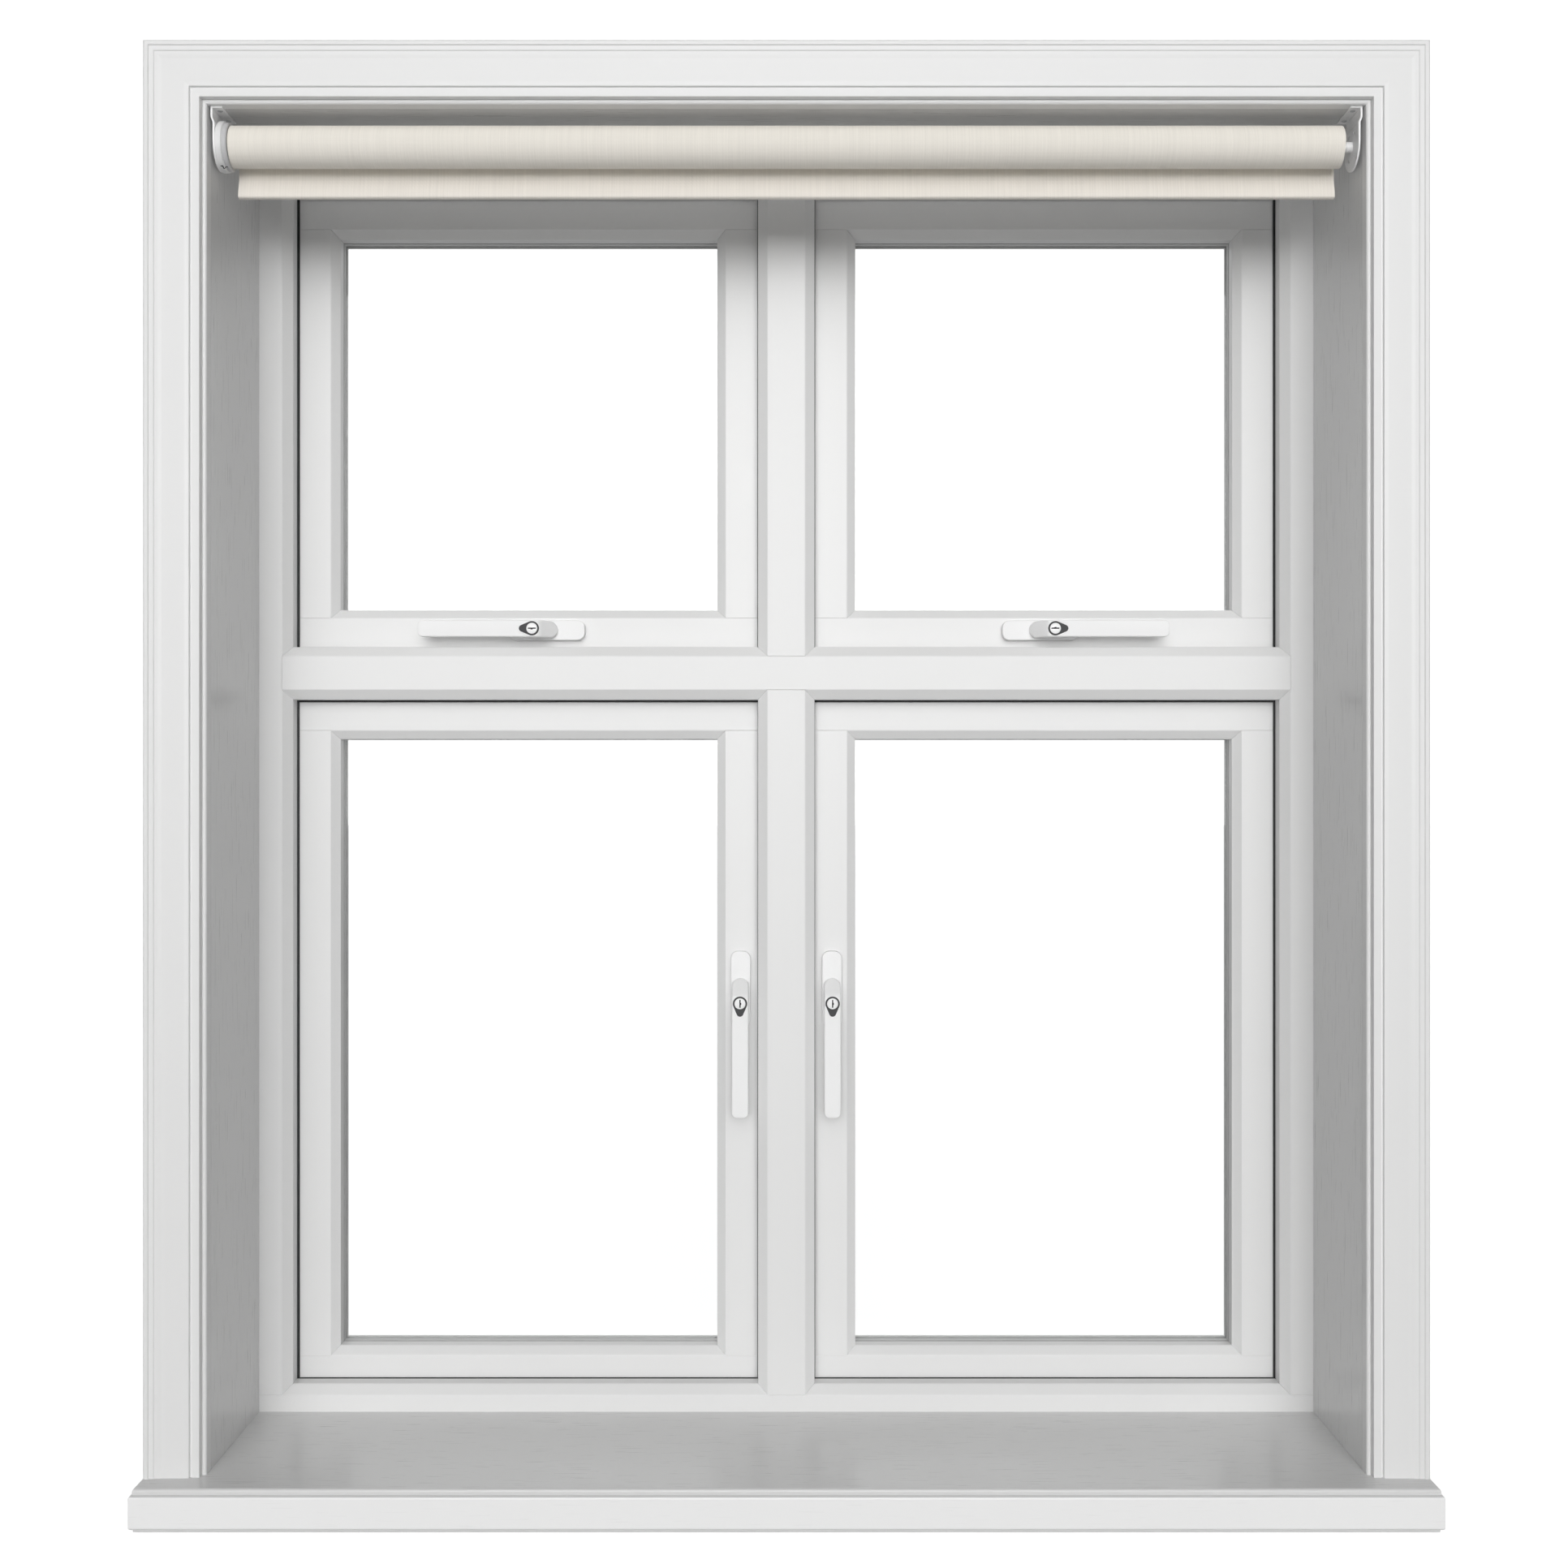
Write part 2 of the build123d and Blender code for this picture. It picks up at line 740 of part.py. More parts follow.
def make_sash_wood(name, sash):
    """Rails that run the full width and stiles between them, from one rebated ring."""
    light = sash.light
    sight = sash_sight(sash)
    shoulder = grown(sight, sash_shoulder)
    body = grown(light, sash_lip)
    flange = grown(light, flange_reach)
    whole = slab(body, sash_face, flange_back) + slab(flange, flange_back, sash_outer)
    whole -= slab(sight, sash_face - 1, sash_outer + 1)
    whole -= frustum(shoulder, sash_face, sight, sash_face + sash_chamfer_depth)
    whole -= slab(shoulder, rebate_floor, sash_outer + 1)
    for cut in gear_cuts(sash):
        whole -= cut
    y0 = sash_face - 1
    y1 = sash_outer + 1
    top = Rect(flange.x0, flange.x1, shoulder.z1, flange.z1)
    bottom = Rect(flange.x0, flange.x1, flange.z0, shoulder.z0)
    left = Rect(flange.x0, shoulder.x0, shoulder.z0, shoulder.z1)
    right = Rect(shoulder.x1, flange.x1, shoulder.z0, shoulder.z1)

    def piece(rect, side):
        return member(whole, [outline_of(rect), ring_side(sight, shoulder, side)], y0, y1)

    save(f"{name}_rails", piece(top, "top"), piece(bottom, "bottom"))
    save(f"{name}_stiles", piece(left, "left"), piece(right, "right"))


def make_glazing(name, sash):
    """Two panes of a sealed unit, and the bevelled beads that hold it from outdoors."""
    sight = sash_sight(sash)
    pane = grown(sight, sash_shoulder - pane_clearance)
    far_pane = pane_face + pane_thickness + pane_cavity
    save(
        f"{name}_glass",
        slab(pane, pane_face, pane_face + pane_thickness),
        slab(pane, far_pane, far_pane + pane_thickness),
    )
    shoulder = grown(sight, sash_shoulder)
    front = sash_outer - bead_setback
    ring = slab(shoulder, bead_back, front) - slab(sight, bead_back - 1, front + 1)
    ring -= frustum(sight, front - bead_bevel, grown(sight, bead_bevel), front)
    beads = [
        member(ring, [ring_side(sight, shoulder, side)], bead_back, front)
        for side in ("left", "right", "bottom", "top")
    ]
    save(f"{name}_glazing_beads", *beads)


# ------------------------------------------------------------------ handles


def handle_plane(sash, out):
    """Plane facing the room at this height over the sash face, x along the lever."""
    origin = sash.pivot + ROOM * out
    return Plane(origin=origin, x_dir=sash.lever_way, z_dir=ROOM)


def rounded_plan(x0, x1, width, start_round, end_round):
    """Outline along the lever with its own corner rounding at each end."""
    half = width / 2
    outline = FilletPolyline(
        (x0, -half), (x1, -half), (x1, half), (x0, half),
        radius=[start_round, end_round, end_round, start_round], close=True,
    )
    return make_face(outline).face()


def make_backplate(name, sash):
    """Handle backplate with a rounded front edge, and the gear case inside the stile."""
    plan = rounded_plan(
        -plate_length / 2, plate_length / 2, plate_width, plate_width / 2 - 0.05,
        plate_width / 2 - 0.05,
    )
    plate = Solid.extrude(handle_plane(sash, 0).location * plan, ROOM * plate_thickness)
    front = plate.faces().sort_by(Axis.Y)[0]
    plate = fillet(front.edges(), plate_edge_round)
    bore = cylinder(
        handle_point(sash, 0, 0, -1), handle_point(sash, 0, 0, plate_thickness + 1),
        neck_radius + running_gap,
    )
    case = gear_block(sash, 0) - cylinder(
        handle_point(sash, 0, 0, 0), handle_point(sash, 0, 0, -2 * gear_setback),
        spindle_width / 2**0.5 + spindle_hole_gap / 2,
    )
    save(f"{name}_handle_base", plate - bore, case)


def lever_side_corners():
    """Lever seen from the side: u along the lever, v out from the sash face."""
    foot = plate_thickness + plate_gap
    arm = lever_height - lever_arm_thickness
    return [
        (-lever_hub, foot, 0),
        (lever_hub_foot, foot, 0),
        (lever_hub_foot, arm, 6.0),
        (lever_reach, arm, 3.0),
        (lever_reach, lever_height, 3.0),
        (lever_slope_end, lever_height, 5.0),
        (-lever_hub, foot + lever_hub_lip, 1.5),
    ]


def lock_recess_face():
    """Drop-shaped surround of the key lock, pointing along the lever."""
    ring = Pos(lock_offset, 0) * Circle(lock_ring_radius)
    tip = Pos(lock_offset + lock_tip - lock_tip_radius, 0) * Circle(lock_tip_radius)
    return make_hull(ring.edges() + tip.edges()).face()


def make_lever(name, sash):
    """Lever with sloped hub, neck and square spindle, bored for its key lock."""
    across = lever_width / 2
    side_start = sash.pivot - sash.lever_way.cross(ROOM) * across
    side = section(
        lever_side_corners(), side_start, sash.lever_way, ROOM,
        sash.lever_way.cross(ROOM) * lever_width,
    )
    plan = rounded_plan(-lever_hub, lever_reach, lever_width, across - 0.05, lever_end_round)
    lever = side & Solid.extrude(handle_plane(sash, 0).location * plan, ROOM * lever_height)
    foot = plate_thickness + plate_gap
    lever += cylinder(
        handle_point(sash, 0, 0, foot - neck_length), handle_point(sash, 0, 0, foot + 1),
        neck_radius,
    )
    half = spindle_width / 2
    spindle_end = gear_setback + gear_case_width / 2 - spindle_end_gap
    lever += box_between(
        handle_point(sash, -half, -half, foot), handle_point(sash, half, half, -spindle_end)
    )
    recess = handle_plane(sash, lever_height).location * lock_recess_face()
    lever -= Solid.extrude(recess, ROOM * -lock_recess)
    lever -= cylinder(
        handle_point(sash, lock_offset, 0, lever_height + 1),
        handle_point(sash, lock_offset, 0, lever_height - lock_depth - running_gap),
        lock_radius + running_gap,
    )
    save(f"{name}_lever", lever)
    front = lever_height - lock_setback
    barrel = cylinder(
        handle_point(sash, lock_offset, 0, lever_height - lock_depth),
        handle_point(sash, lock_offset, 0, front), lock_radius,
    )
    slot = box_between(
        handle_point(sash, lock_offset - key_slot_length / 2, -key_slot_width / 2,
                     front - key_slot_depth),
        handle_point(sash, lock_offset + key_slot_length / 2, key_slot_width / 2, front + 1),
    )
    save(f"{name}_lock_cylinder", barrel - slot)


def make_drive_rod(name, sash):
    """Flat drive rod in the sash edge with its two round cams."""
    edge = lock_edge(sash)
    top = edge - rod_sink
    half = rod_half_length(sash)
    rod = box_between(
        handle_point(sash, -half, top - rod_thickness + seat_gap, -gear_setback - rod_width / 2),
        handle_point(sash, half, top, -gear_setback + rod_width / 2),
    )
    for way in (-1, 1):
        along = way * cam_offset(sash)
        rod += cylinder(
            handle_point(sash, along, top - rod_thickness / 2, -gear_setback),
            handle_point(sash, along, edge + cam_projection, -gear_setback),
            cam_radius,
        )
    save(f"{name}_drive_rod", rod)


# ------------------------------------------------------------------ roller blind


def roll_point(x, radius_y=0.0, radius_z=0.0):
    """A point at x on the roll's axis, moved across it."""
    return Vector(x, roll_axis_y + radius_y, reveal_top - roll_axis_drop + radius_z)


def bracket(sign):
    """Folded end bracket with a flange under the head lining and a round lower end."""
    inner = bracket_face
    outer = inner + bracket_thickness
    top = reveal_top
    under = top - bracket_flange_thickness
    knee_top = top - bracket_joggle_drop
    knee = knee_top - bracket_joggle_height
    low = reveal_top - roll_axis_drop - bracket_width / 2
    tip = outer + bracket_joggle - bracket_flange
    path = [
        (tip, top),
        (outer + bracket_joggle, top),
        (outer + bracket_joggle, knee_top),
        (outer, knee),
        (outer, low - 1),
        (inner, low - 1),
        (inner, knee),
        (inner + bracket_joggle, knee_top),
        (inner + bracket_joggle, under),
        (tip, under),
    ]
    front = roll_axis_y - bracket_width / 2
    folded = wall_prism([(sign * x, z) for x, z in path], front, front + bracket_width)
    x0 = sign * (inner - bracket_flange)
    x1 = sign * (outer + bracket_joggle)
    upper = box_between(
        Vector(x0, front, reveal_top - roll_axis_drop), Vector(x1, front + bracket_width, top)
    )
    lower = cylinder(roll_point(x0), roll_point(x1), bracket_width / 2)
    return folded & (upper + lower)


def make_blind_ends():
    """Both brackets, the clutch at the left and the fixed end pin at the right."""
    save("blind_bracket_left", bracket(-1))
    boss_end = bracket_face - end_boss_length
    pin = cylinder(roll_point(bracket_face), roll_point(boss_end), end_boss_radius)
    pin += cylinder(roll_point(boss_end), roll_point(boss_end - end_pin_length), end_pin_radius)
    save("blind_bracket_right", bracket(1) + pin)
    clutch_end = -roll_half_length - blind_end_gap
    step = clutch_end - clutch_step_length
    clutch = cylinder(roll_point(-bracket_face), roll_point(step), clutch_radius)
    clutch += cylinder(roll_point(step), roll_point(clutch_end), clutch_step_radius)
    clutch += cylinder(
        roll_point(clutch_end), roll_point(clutch_end + spigot_length),
        tube_radius - tube_wall - running_gap,
    )
    clutch -= box_between(
        roll_point(step - chain_slot_width / 2, -chain_slot_reach, -clutch_radius - 1),
        roll_point(step + chain_slot_width / 2, chain_slot_reach,
                   -clutch_radius + chain_slot_depth),
    )
    save("blind_clutch", clutch)


def make_blind_roller():
    """Tube with its end plug, the wound fabric, the fabric drop and the hem bar."""
    left = roll_point(-roll_half_length)
    right = roll_point(roll_half_length)
    bore = tube_radius - tube_wall
    tube = cylinder(left, right, tube_radius) - cylinder(left, right, bore)
    plug_start = roll_point(roll_half_length - end_plug_length)
    plug = cylinder(plug_start, right, bore)
    plug -= cylinder(plug_start, right, end_pin_radius + running_gap)
    save("blind_tube", tube, plug)
    roll = cylinder(left, right, roll_radius)
    save("blind_fabric_roll", roll - cylinder(left, right, tube_radius + fabric_gap))
    behind = roll_radius + fabric_gap
    hem_bottom = reveal_top - hem_drop
    hem_top = hem_bottom + hem_height
    axis = roll_point(0)
    drop = box_between(
        Vector(-hem_half_length, axis.Y + behind, hem_top),
        Vector(hem_half_length, axis.Y + behind + fabric_thickness, axis.Z),
    )
    save("blind_fabric_drop", drop)
    hem_y = axis.Y + behind + fabric_thickness / 2
    hem = box_between(
        Vector(-hem_half_length, hem_y - hem_thickness / 2, hem_bottom),
        Vector(hem_half_length, hem_y + hem_thickness / 2, hem_top),
    )
    hem = fillet(hem.edges().filter_by(Axis.X), hem_thickness * 0.45)
    save("blind_hem_bar", hem)


# ------------------------------------------------------------------ build

os.makedirs("parts", exist_ok=True)
make_casings()
make_window_board()
make_linings()
make_frame()
make_frame_furniture()
frame_leaves = []
for sash_name, one_sash in sashes.items():
    make_sash_wood(sash_name, one_sash)
    make_glazing(sash_name, one_sash)
    sash_leaves = []
    for hinge_centre, pin_way in hinge_frames(one_sash):
        frame_leaves += frame_leaf(one_sash, hinge_centre, pin_way)
        sash_leaves.append(sash_leaf(one_sash, hinge_centre, pin_way))
    save(f"{sash_name}_hinge_leaves", *sash_leaves)
    make_backplate(sash_name, one_sash)
    make_lever(sash_name, one_sash)
    make_drive_rod(sash_name, one_sash)
save("hinge_frame_leaves", *frame_leaves)
make_blind_ends()
make_blind_roller()
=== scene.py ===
"""Finished look of a white timber casement window with locking handles and a roller blind."""
import logging
import math
from dataclasses import dataclass, field
from enum import Enum
from typing import Callable, Iterable, Sequence

import bmesh
import bpy
from mathutils import Matrix, Vector


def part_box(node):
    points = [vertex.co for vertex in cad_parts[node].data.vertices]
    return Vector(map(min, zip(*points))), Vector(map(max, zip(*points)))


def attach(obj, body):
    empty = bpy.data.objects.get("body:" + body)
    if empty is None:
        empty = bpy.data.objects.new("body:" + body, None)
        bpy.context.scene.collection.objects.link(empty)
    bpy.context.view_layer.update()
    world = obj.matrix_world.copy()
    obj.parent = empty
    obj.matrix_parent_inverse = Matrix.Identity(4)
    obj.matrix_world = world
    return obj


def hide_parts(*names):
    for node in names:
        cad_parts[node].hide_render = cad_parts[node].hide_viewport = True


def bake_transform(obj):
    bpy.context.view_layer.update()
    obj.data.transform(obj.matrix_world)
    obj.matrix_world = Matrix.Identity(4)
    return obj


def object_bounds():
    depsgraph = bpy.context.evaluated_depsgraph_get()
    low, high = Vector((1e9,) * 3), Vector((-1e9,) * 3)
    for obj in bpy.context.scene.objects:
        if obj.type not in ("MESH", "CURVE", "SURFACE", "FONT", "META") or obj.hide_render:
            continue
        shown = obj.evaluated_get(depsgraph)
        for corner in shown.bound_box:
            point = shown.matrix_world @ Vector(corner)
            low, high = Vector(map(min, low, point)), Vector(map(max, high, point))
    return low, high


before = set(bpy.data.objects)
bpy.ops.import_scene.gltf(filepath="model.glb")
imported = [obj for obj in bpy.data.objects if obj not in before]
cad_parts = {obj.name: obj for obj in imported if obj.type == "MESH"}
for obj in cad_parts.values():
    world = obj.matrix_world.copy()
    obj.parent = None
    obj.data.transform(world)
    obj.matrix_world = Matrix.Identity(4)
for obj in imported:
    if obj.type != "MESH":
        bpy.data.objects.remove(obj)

CAD_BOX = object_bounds()
MM = 0.001
ROOM = Vector((0, -1, 0))
OUTDOORS = Vector((0, 1, 0))
UP = Vector((0, 0, 1))
DOWN = Vector((0, 0, -1))
RIGHT = Vector((1, 0, 0))
LEFT = Vector((-1, 0, 0))
Tone = tuple[float, float, float]
Colour = Tone | bpy.types.NodeSocket
log = logging.getLogger("casement_window")


class SashName(Enum):
    """The four sashes, named as their CAD nodes are."""

    LOWER_LEFT = "lower_left"
    LOWER_RIGHT = "lower_right"
    UPPER_LEFT = "upper_left"
    UPPER_RIGHT = "upper_right"

    @property
    def side_hung(self) -> bool:
        """Whether the sash turns about an upright edge."""
        return self in (SashName.LOWER_LEFT, SashName.LOWER_RIGHT)

    @property
    def on_left(self) -> bool:
        """Whether the sash is left of the mullion."""
        return self in (SashName.LOWER_LEFT, SashName.UPPER_LEFT)

    @property
    def lever_way(self) -> Vector:
        """The way its lever points when shut.

        Returns:
            A unit vector.
        """
        if self.side_hung:
            return DOWN
        return LEFT if self.on_left else RIGHT

    @property
    def hinge_way(self) -> Vector:
        """The way from the sash to its hinges.

        Returns:
            A unit vector.
        """
        if not self.side_hung:
            return UP
        return LEFT if self.on_left else RIGHT


class Grain(Enum):
    """The way the brush and the wood's grain run in a painted piece."""

    ACROSS = (5.0, 150.0, 190.0)
    UPRIGHT = (190.0, 150.0, 5.0)


# ------------------------------------------------------------------ finishes


class Recipe:
    """The node tree of one finish: a Principled shader and the textures that feed it."""

    def __init__(self, name: str) -> None:
        """Start a material.

        Args:
            name: the material's name.
        """
        self.material = bpy.data.materials.new(name)
        self.material.use_nodes = True
        self.tree = self.material.node_tree
        self.shader = self.tree.nodes["Principled BSDF"]

    def node(self, kind: str, **settings: object) -> bpy.types.Node:
        """Add a node.

        Args:
            kind: the node's type name.
            settings: its properties.

        Returns:
            The new node.
        """
        made = self.tree.nodes.new(kind)
        for key, value in settings.items():
            setattr(made, key, value)
        return made

    def link(self, source: bpy.types.NodeSocket, target: bpy.types.NodeSocket) -> None:
        """Join two sockets."""
        self.tree.links.new(source, target)

    def place(self, scale: Sequence[float], uv: bool = False) -> bpy.types.NodeSocket:
        """Scaled coordinates of the piece.

        Args:
            scale: repeats per metre along each axis.
            uv: read the piece's own UV map instead of its place.

        Returns:
            The vector socket.
        """
        coordinates = self.node("ShaderNodeTexCoord")
        mapping = self.node("ShaderNodeMapping")
        mapping.inputs["Scale"].default_value = scale
        self.link(coordinates.outputs["UV" if uv else "Object"], mapping.inputs["Vector"])
        return mapping.outputs["Vector"]

    def noise(self, where: bpy.types.NodeSocket, size: float, detail: float) -> bpy.types.NodeSocket:
        """Smooth noise at these coordinates.

        Args:
            where: the coordinates.
            size: the noise's scale on them.
            detail: its octaves.

        Returns:
            The value socket, 0 to 1.
        """
        made = self.node("ShaderNodeTexNoise")
        made.inputs["Scale"].default_value = size
        made.inputs["Detail"].default_value = detail
        self.link(where, made.inputs["Vector"])
        return made.outputs["Fac"]

    def spread(self, value: bpy.types.NodeSocket, low: float, high: float) -> bpy.types.NodeSocket:
        """A 0.3 to 0.7 texture value spread from low to high.

        Args:
            value: the texture value.
            low: what 0.3 becomes.
            high: what 0.7 becomes.

        Returns:
            The value socket.
        """
        made = self.node("ShaderNodeMapRange")
        made.inputs["From Min"].default_value = 0.3
        made.inputs["From Max"].default_value = 0.7
        made.inputs["To Min"].default_value = low
        made.inputs["To Max"].default_value = high
        self.link(value, made.inputs["Value"])
        return made.outputs["Result"]

    def mix(self, factor: bpy.types.NodeSocket | float, first: Colour, second: Colour,
            blend: str = "MIX") -> bpy.types.NodeSocket:
        """Mix two colours.

        Args:
            factor: the second one's share, as a socket or a constant.
            first: a colour or a colour socket.
            second: a colour or a colour socket.
            blend: how the second is laid on the first.

        Returns:
            The colour socket.
        """
        made = self.node("ShaderNodeMix", data_type="RGBA", blend_type=blend)
        colours = [socket for socket in made.inputs if socket.type == "RGBA"]
        for source, socket in zip((factor, first, second), (made.inputs["Factor"], *colours)):
            if isinstance(source, bpy.types.NodeSocket):
                self.link(source, socket)
            elif socket.type == "RGBA":
                socket.default_value = (*source, 1)
            else:
                socket.default_value = source
        return next(socket for socket in made.outputs if socket.type == "RGBA")

    def painted_light_ahead_of(self, depth: float, behind: bpy.types.NodeSocket, tone: Tone) -> bpy.types.NodeSocket:
        """Another tone on the room's side of a depth, used to paint light onto a front face.

        Args:
            depth: the y that the tone ends at, in metres.
            behind: the colour from there on.
            tone: the colour before it.

        Returns:
            The colour socket.
        """
        split = self.node("ShaderNodeSeparateXYZ")
        self.link(self.place((1, 1, 1)), split.inputs["Vector"])
        past = self.node("ShaderNodeMath", operation="GREATER_THAN")
        past.inputs[1].default_value = depth
        self.link(split.outputs["Y"], past.inputs[0])
        return self.mix(past.outputs["Value"], tone, behind)

    def bump(self, height: bpy.types.NodeSocket, strength: float, depth: float,
             below: bpy.types.NodeSocket | None = None) -> bpy.types.NodeSocket:
        """A bump from a height texture.

        Args:
            height: the texture value.
            strength: the bump's share.
            depth: its full depth in metres.
            below: a normal to lay it on.

        Returns:
            The normal socket.
        """
        made = self.node("ShaderNodeBump")
        made.inputs["Strength"].default_value = strength
        made.inputs["Distance"].default_value = depth
        self.link(height, made.inputs["Height"])
        if below is not None:
            self.link(below, made.inputs["Normal"])
        return made.outputs["Normal"]

    def set(self, **values: object) -> None:
        """Set constants on the shader's own sockets, named with _ for a space."""
        for key, value in values.items():
            self.shader.inputs[key.replace("_", " ")].default_value = value


@dataclass(frozen=True)
class Paint:
    """Brushed paint on timber or board, with painted light on a front face if a tone for it is given: a
    lighter tone standing in for the light falling there.
    """

    name: str
    grain: Grain
    tone: Tone = (0.80, 0.80, 0.797)
    gloss: float = 0.36
    coat: float = 0.0
    relief: float = 0.05
    grain_depth: float = 0.00004
    brush_depth: float = 0.00001
    wear: float = 0.03
    # Painted light: a lighter tone painted on the front face, up to this depth, for the light falling
    # there.
    painted_light_tone: Tone | None = None
    painted_light_depth: float = 0.0

    def make(self) -> bpy.types.Material:
        """Build the material: faint patches, brush marks and grain under the paint, and any painted light
        on the front face.

        Returns:
            The material.
        """
        recipe = Recipe(self.name)
        patches = recipe.noise(recipe.place((1, 1, 1)), 4.0, 3.0)
        fade = 0.5 * self.wear
        darker = tuple(c * (1 - fade) for c in self.tone)
        lighter = tuple(min(1.0, c * (1 + 0.6 * fade)) for c in self.tone)
        colour = recipe.mix(patches, darker, lighter)
        # Painted light: the front face is painted lighter than the rest of the piece.
        if self.painted_light_tone is not None:
            colour = recipe.painted_light_ahead_of(self.painted_light_depth, colour, self.painted_light_tone)
        recipe.link(colour, recipe.shader.inputs["Base Color"])
        brush = recipe.noise(recipe.place(self.grain.value), 4.5, 3.0)
        wood = recipe.noise(recipe.place(tuple(0.6 * v for v in self.grain.value)), 1.0, 2.0)
        rough = recipe.spread(brush, self.gloss - self.wear, self.gloss + self.wear)
        recipe.link(rough, recipe.shader.inputs["Roughness"])
        coarse = recipe.bump(wood, self.relief, self.grain_depth)
        fine = recipe.bump(brush, self.relief, self.brush_depth, coarse)
        recipe.link(fine, recipe.shader.inputs["Normal"])
        recipe.set(Coat_Weight=self.coat, Coat_Roughness=0.12, IOR=1.46)
        return recipe.material


@dataclass(frozen=True)
class Enamel:
    """Powder coat with the faint ripple of orange peel."""

    name: str
    tone: Tone
    gloss: float = 0.5
    ripple: float = 0.00003
    coat: float = 0.0

    def make(self) -> bpy.types.Material:
        """Build the material.

        Returns:
            The material.
        """
        recipe = Recipe(self.name)
        patches = recipe.noise(recipe.place((1, 1, 1)), 60.0, 2.0)
        low = tuple(c * 0.985 for c in self.tone)
        recipe.link(recipe.mix(patches, low, self.tone), recipe.shader.inputs["Base Color"])
        peel = recipe.noise(recipe.place((1, 1, 1)), 1100.0, 2.0)
        recipe.link(recipe.spread(peel, self.gloss - 0.03, self.gloss + 0.04),
                    recipe.shader.inputs["Roughness"])
        recipe.link(recipe.bump(peel, 0.5, self.ripple), recipe.shader.inputs["Normal"])
        recipe.set(Coat_Weight=self.coat, Coat_Roughness=0.15, IOR=1.45)
        return recipe.material


@dataclass(frozen=True)
class Metal:
    """Plated, rolled or drawn metal with a fine lay."""

    name: str
    tone: Tone
    rough: float
    lay: tuple[float, float, float] = (900.0, 60.0, 60.0)

    def make(self) -> bpy.types.Material:
        """Build the material.

        Returns:
            The material.
        """
        recipe = Recipe(self.name)
        clouds = recipe.noise(recipe.place((1, 1, 1)), 90.0, 3.0)
        low = tuple(c * 0.86 for c in self.tone)
        recipe.link(recipe.mix(clouds, low, self.tone), recipe.shader.inputs["Base Color"])
        lines = recipe.noise(recipe.place(self.lay), 3.0, 3.0)
        recipe.link(recipe.spread(lines, self.rough - 0.07, self.rough + 0.09),
                    recipe.shader.inputs["Roughness"])
        recipe.link(recipe.bump(lines, 0.35, 0.00004), recipe.shader.inputs["Normal"])
        recipe.set(Metallic=1.0)
        return recipe.material


@dataclass(frozen=True)
class Moulding:
    """Moulded plastic or rubber with a fine spark grain."""

    name: str
    tone: Tone
    rough: float
    grain: float = 0.00005

    def make(self) -> bpy.types.Material:
        """Build the material.

        Returns:
            The material.
        """
        recipe = Recipe(self.name)
        spark = recipe.noise(recipe.place((1, 1, 1)), 1600.0, 3.0)
        cloud = recipe.noise(recipe.place((1, 1, 1)), 30.0, 2.0)
        low = tuple(c * 0.9 for c in self.tone)
        recipe.link(recipe.mix(cloud, low, self.tone), recipe.shader.inputs["Base Color"])
        recipe.link(recipe.spread(spark, self.rough - 0.06, self.rough + 0.08),
                    recipe.shader.inputs["Roughness"])
        recipe.link(recipe.bump(spark, 0.5, self.grain), recipe.shader.inputs["Normal"])
        return recipe.material


@dataclass(frozen=True)
class ClearGlass:
    """Float glass: clear to light, and a mirror by its Fresnel share."""

    name: str
    pass_tint: Tone = (0.997, 0.999, 0.998)

    def make(self) -> bpy.types.Material:
        """Build the material: transparent and glossy, mixed by Fresnel, with faint wipe marks.

        Returns:
            The material.
        """
        recipe = Recipe(self.name)
        clear = recipe.node("ShaderNodeBsdfTransparent")
        clear.inputs["Color"].default_value = (*self.pass_tint, 1)
        mirror = recipe.node("ShaderNodeBsdfGlossy")
        wipes = recipe.noise(recipe.place((6, 6, 22)), 1.0, 3.0)
        recipe.link(recipe.spread(wipes, 0.0, 0.03), mirror.inputs["Roughness"])
        share = recipe.node("ShaderNodeFresnel")
        share.inputs["IOR"].default_value = 1.5
        side = recipe.node("ShaderNodeNewGeometry")
        front = recipe.node("ShaderNodeMath", operation="SUBTRACT")
        front.inputs[0].default_value = 1.0
        recipe.link(side.outputs["Backfacing"], front.inputs[1])
        entering = recipe.node("ShaderNodeMath", operation="MULTIPLY")
        recipe.link(share.outputs["Fac"], entering.inputs[0])
        recipe.link(front.outputs["Value"], entering.inputs[1])
        mixed = recipe.node("ShaderNodeMixShader")
        recipe.link(entering.outputs["Value"], mixed.inputs["Fac"])
        recipe.link(clear.outputs["BSDF"], mixed.inputs[1])
        recipe.link(mirror.outputs["BSDF"], mixed.inputs[2])
        output = recipe.tree.nodes["Material Output"]
        recipe.link(mixed.outputs["Shader"], output.inputs["Surface"])
        recipe.tree.nodes.remove(recipe.shader)
        return recipe.material


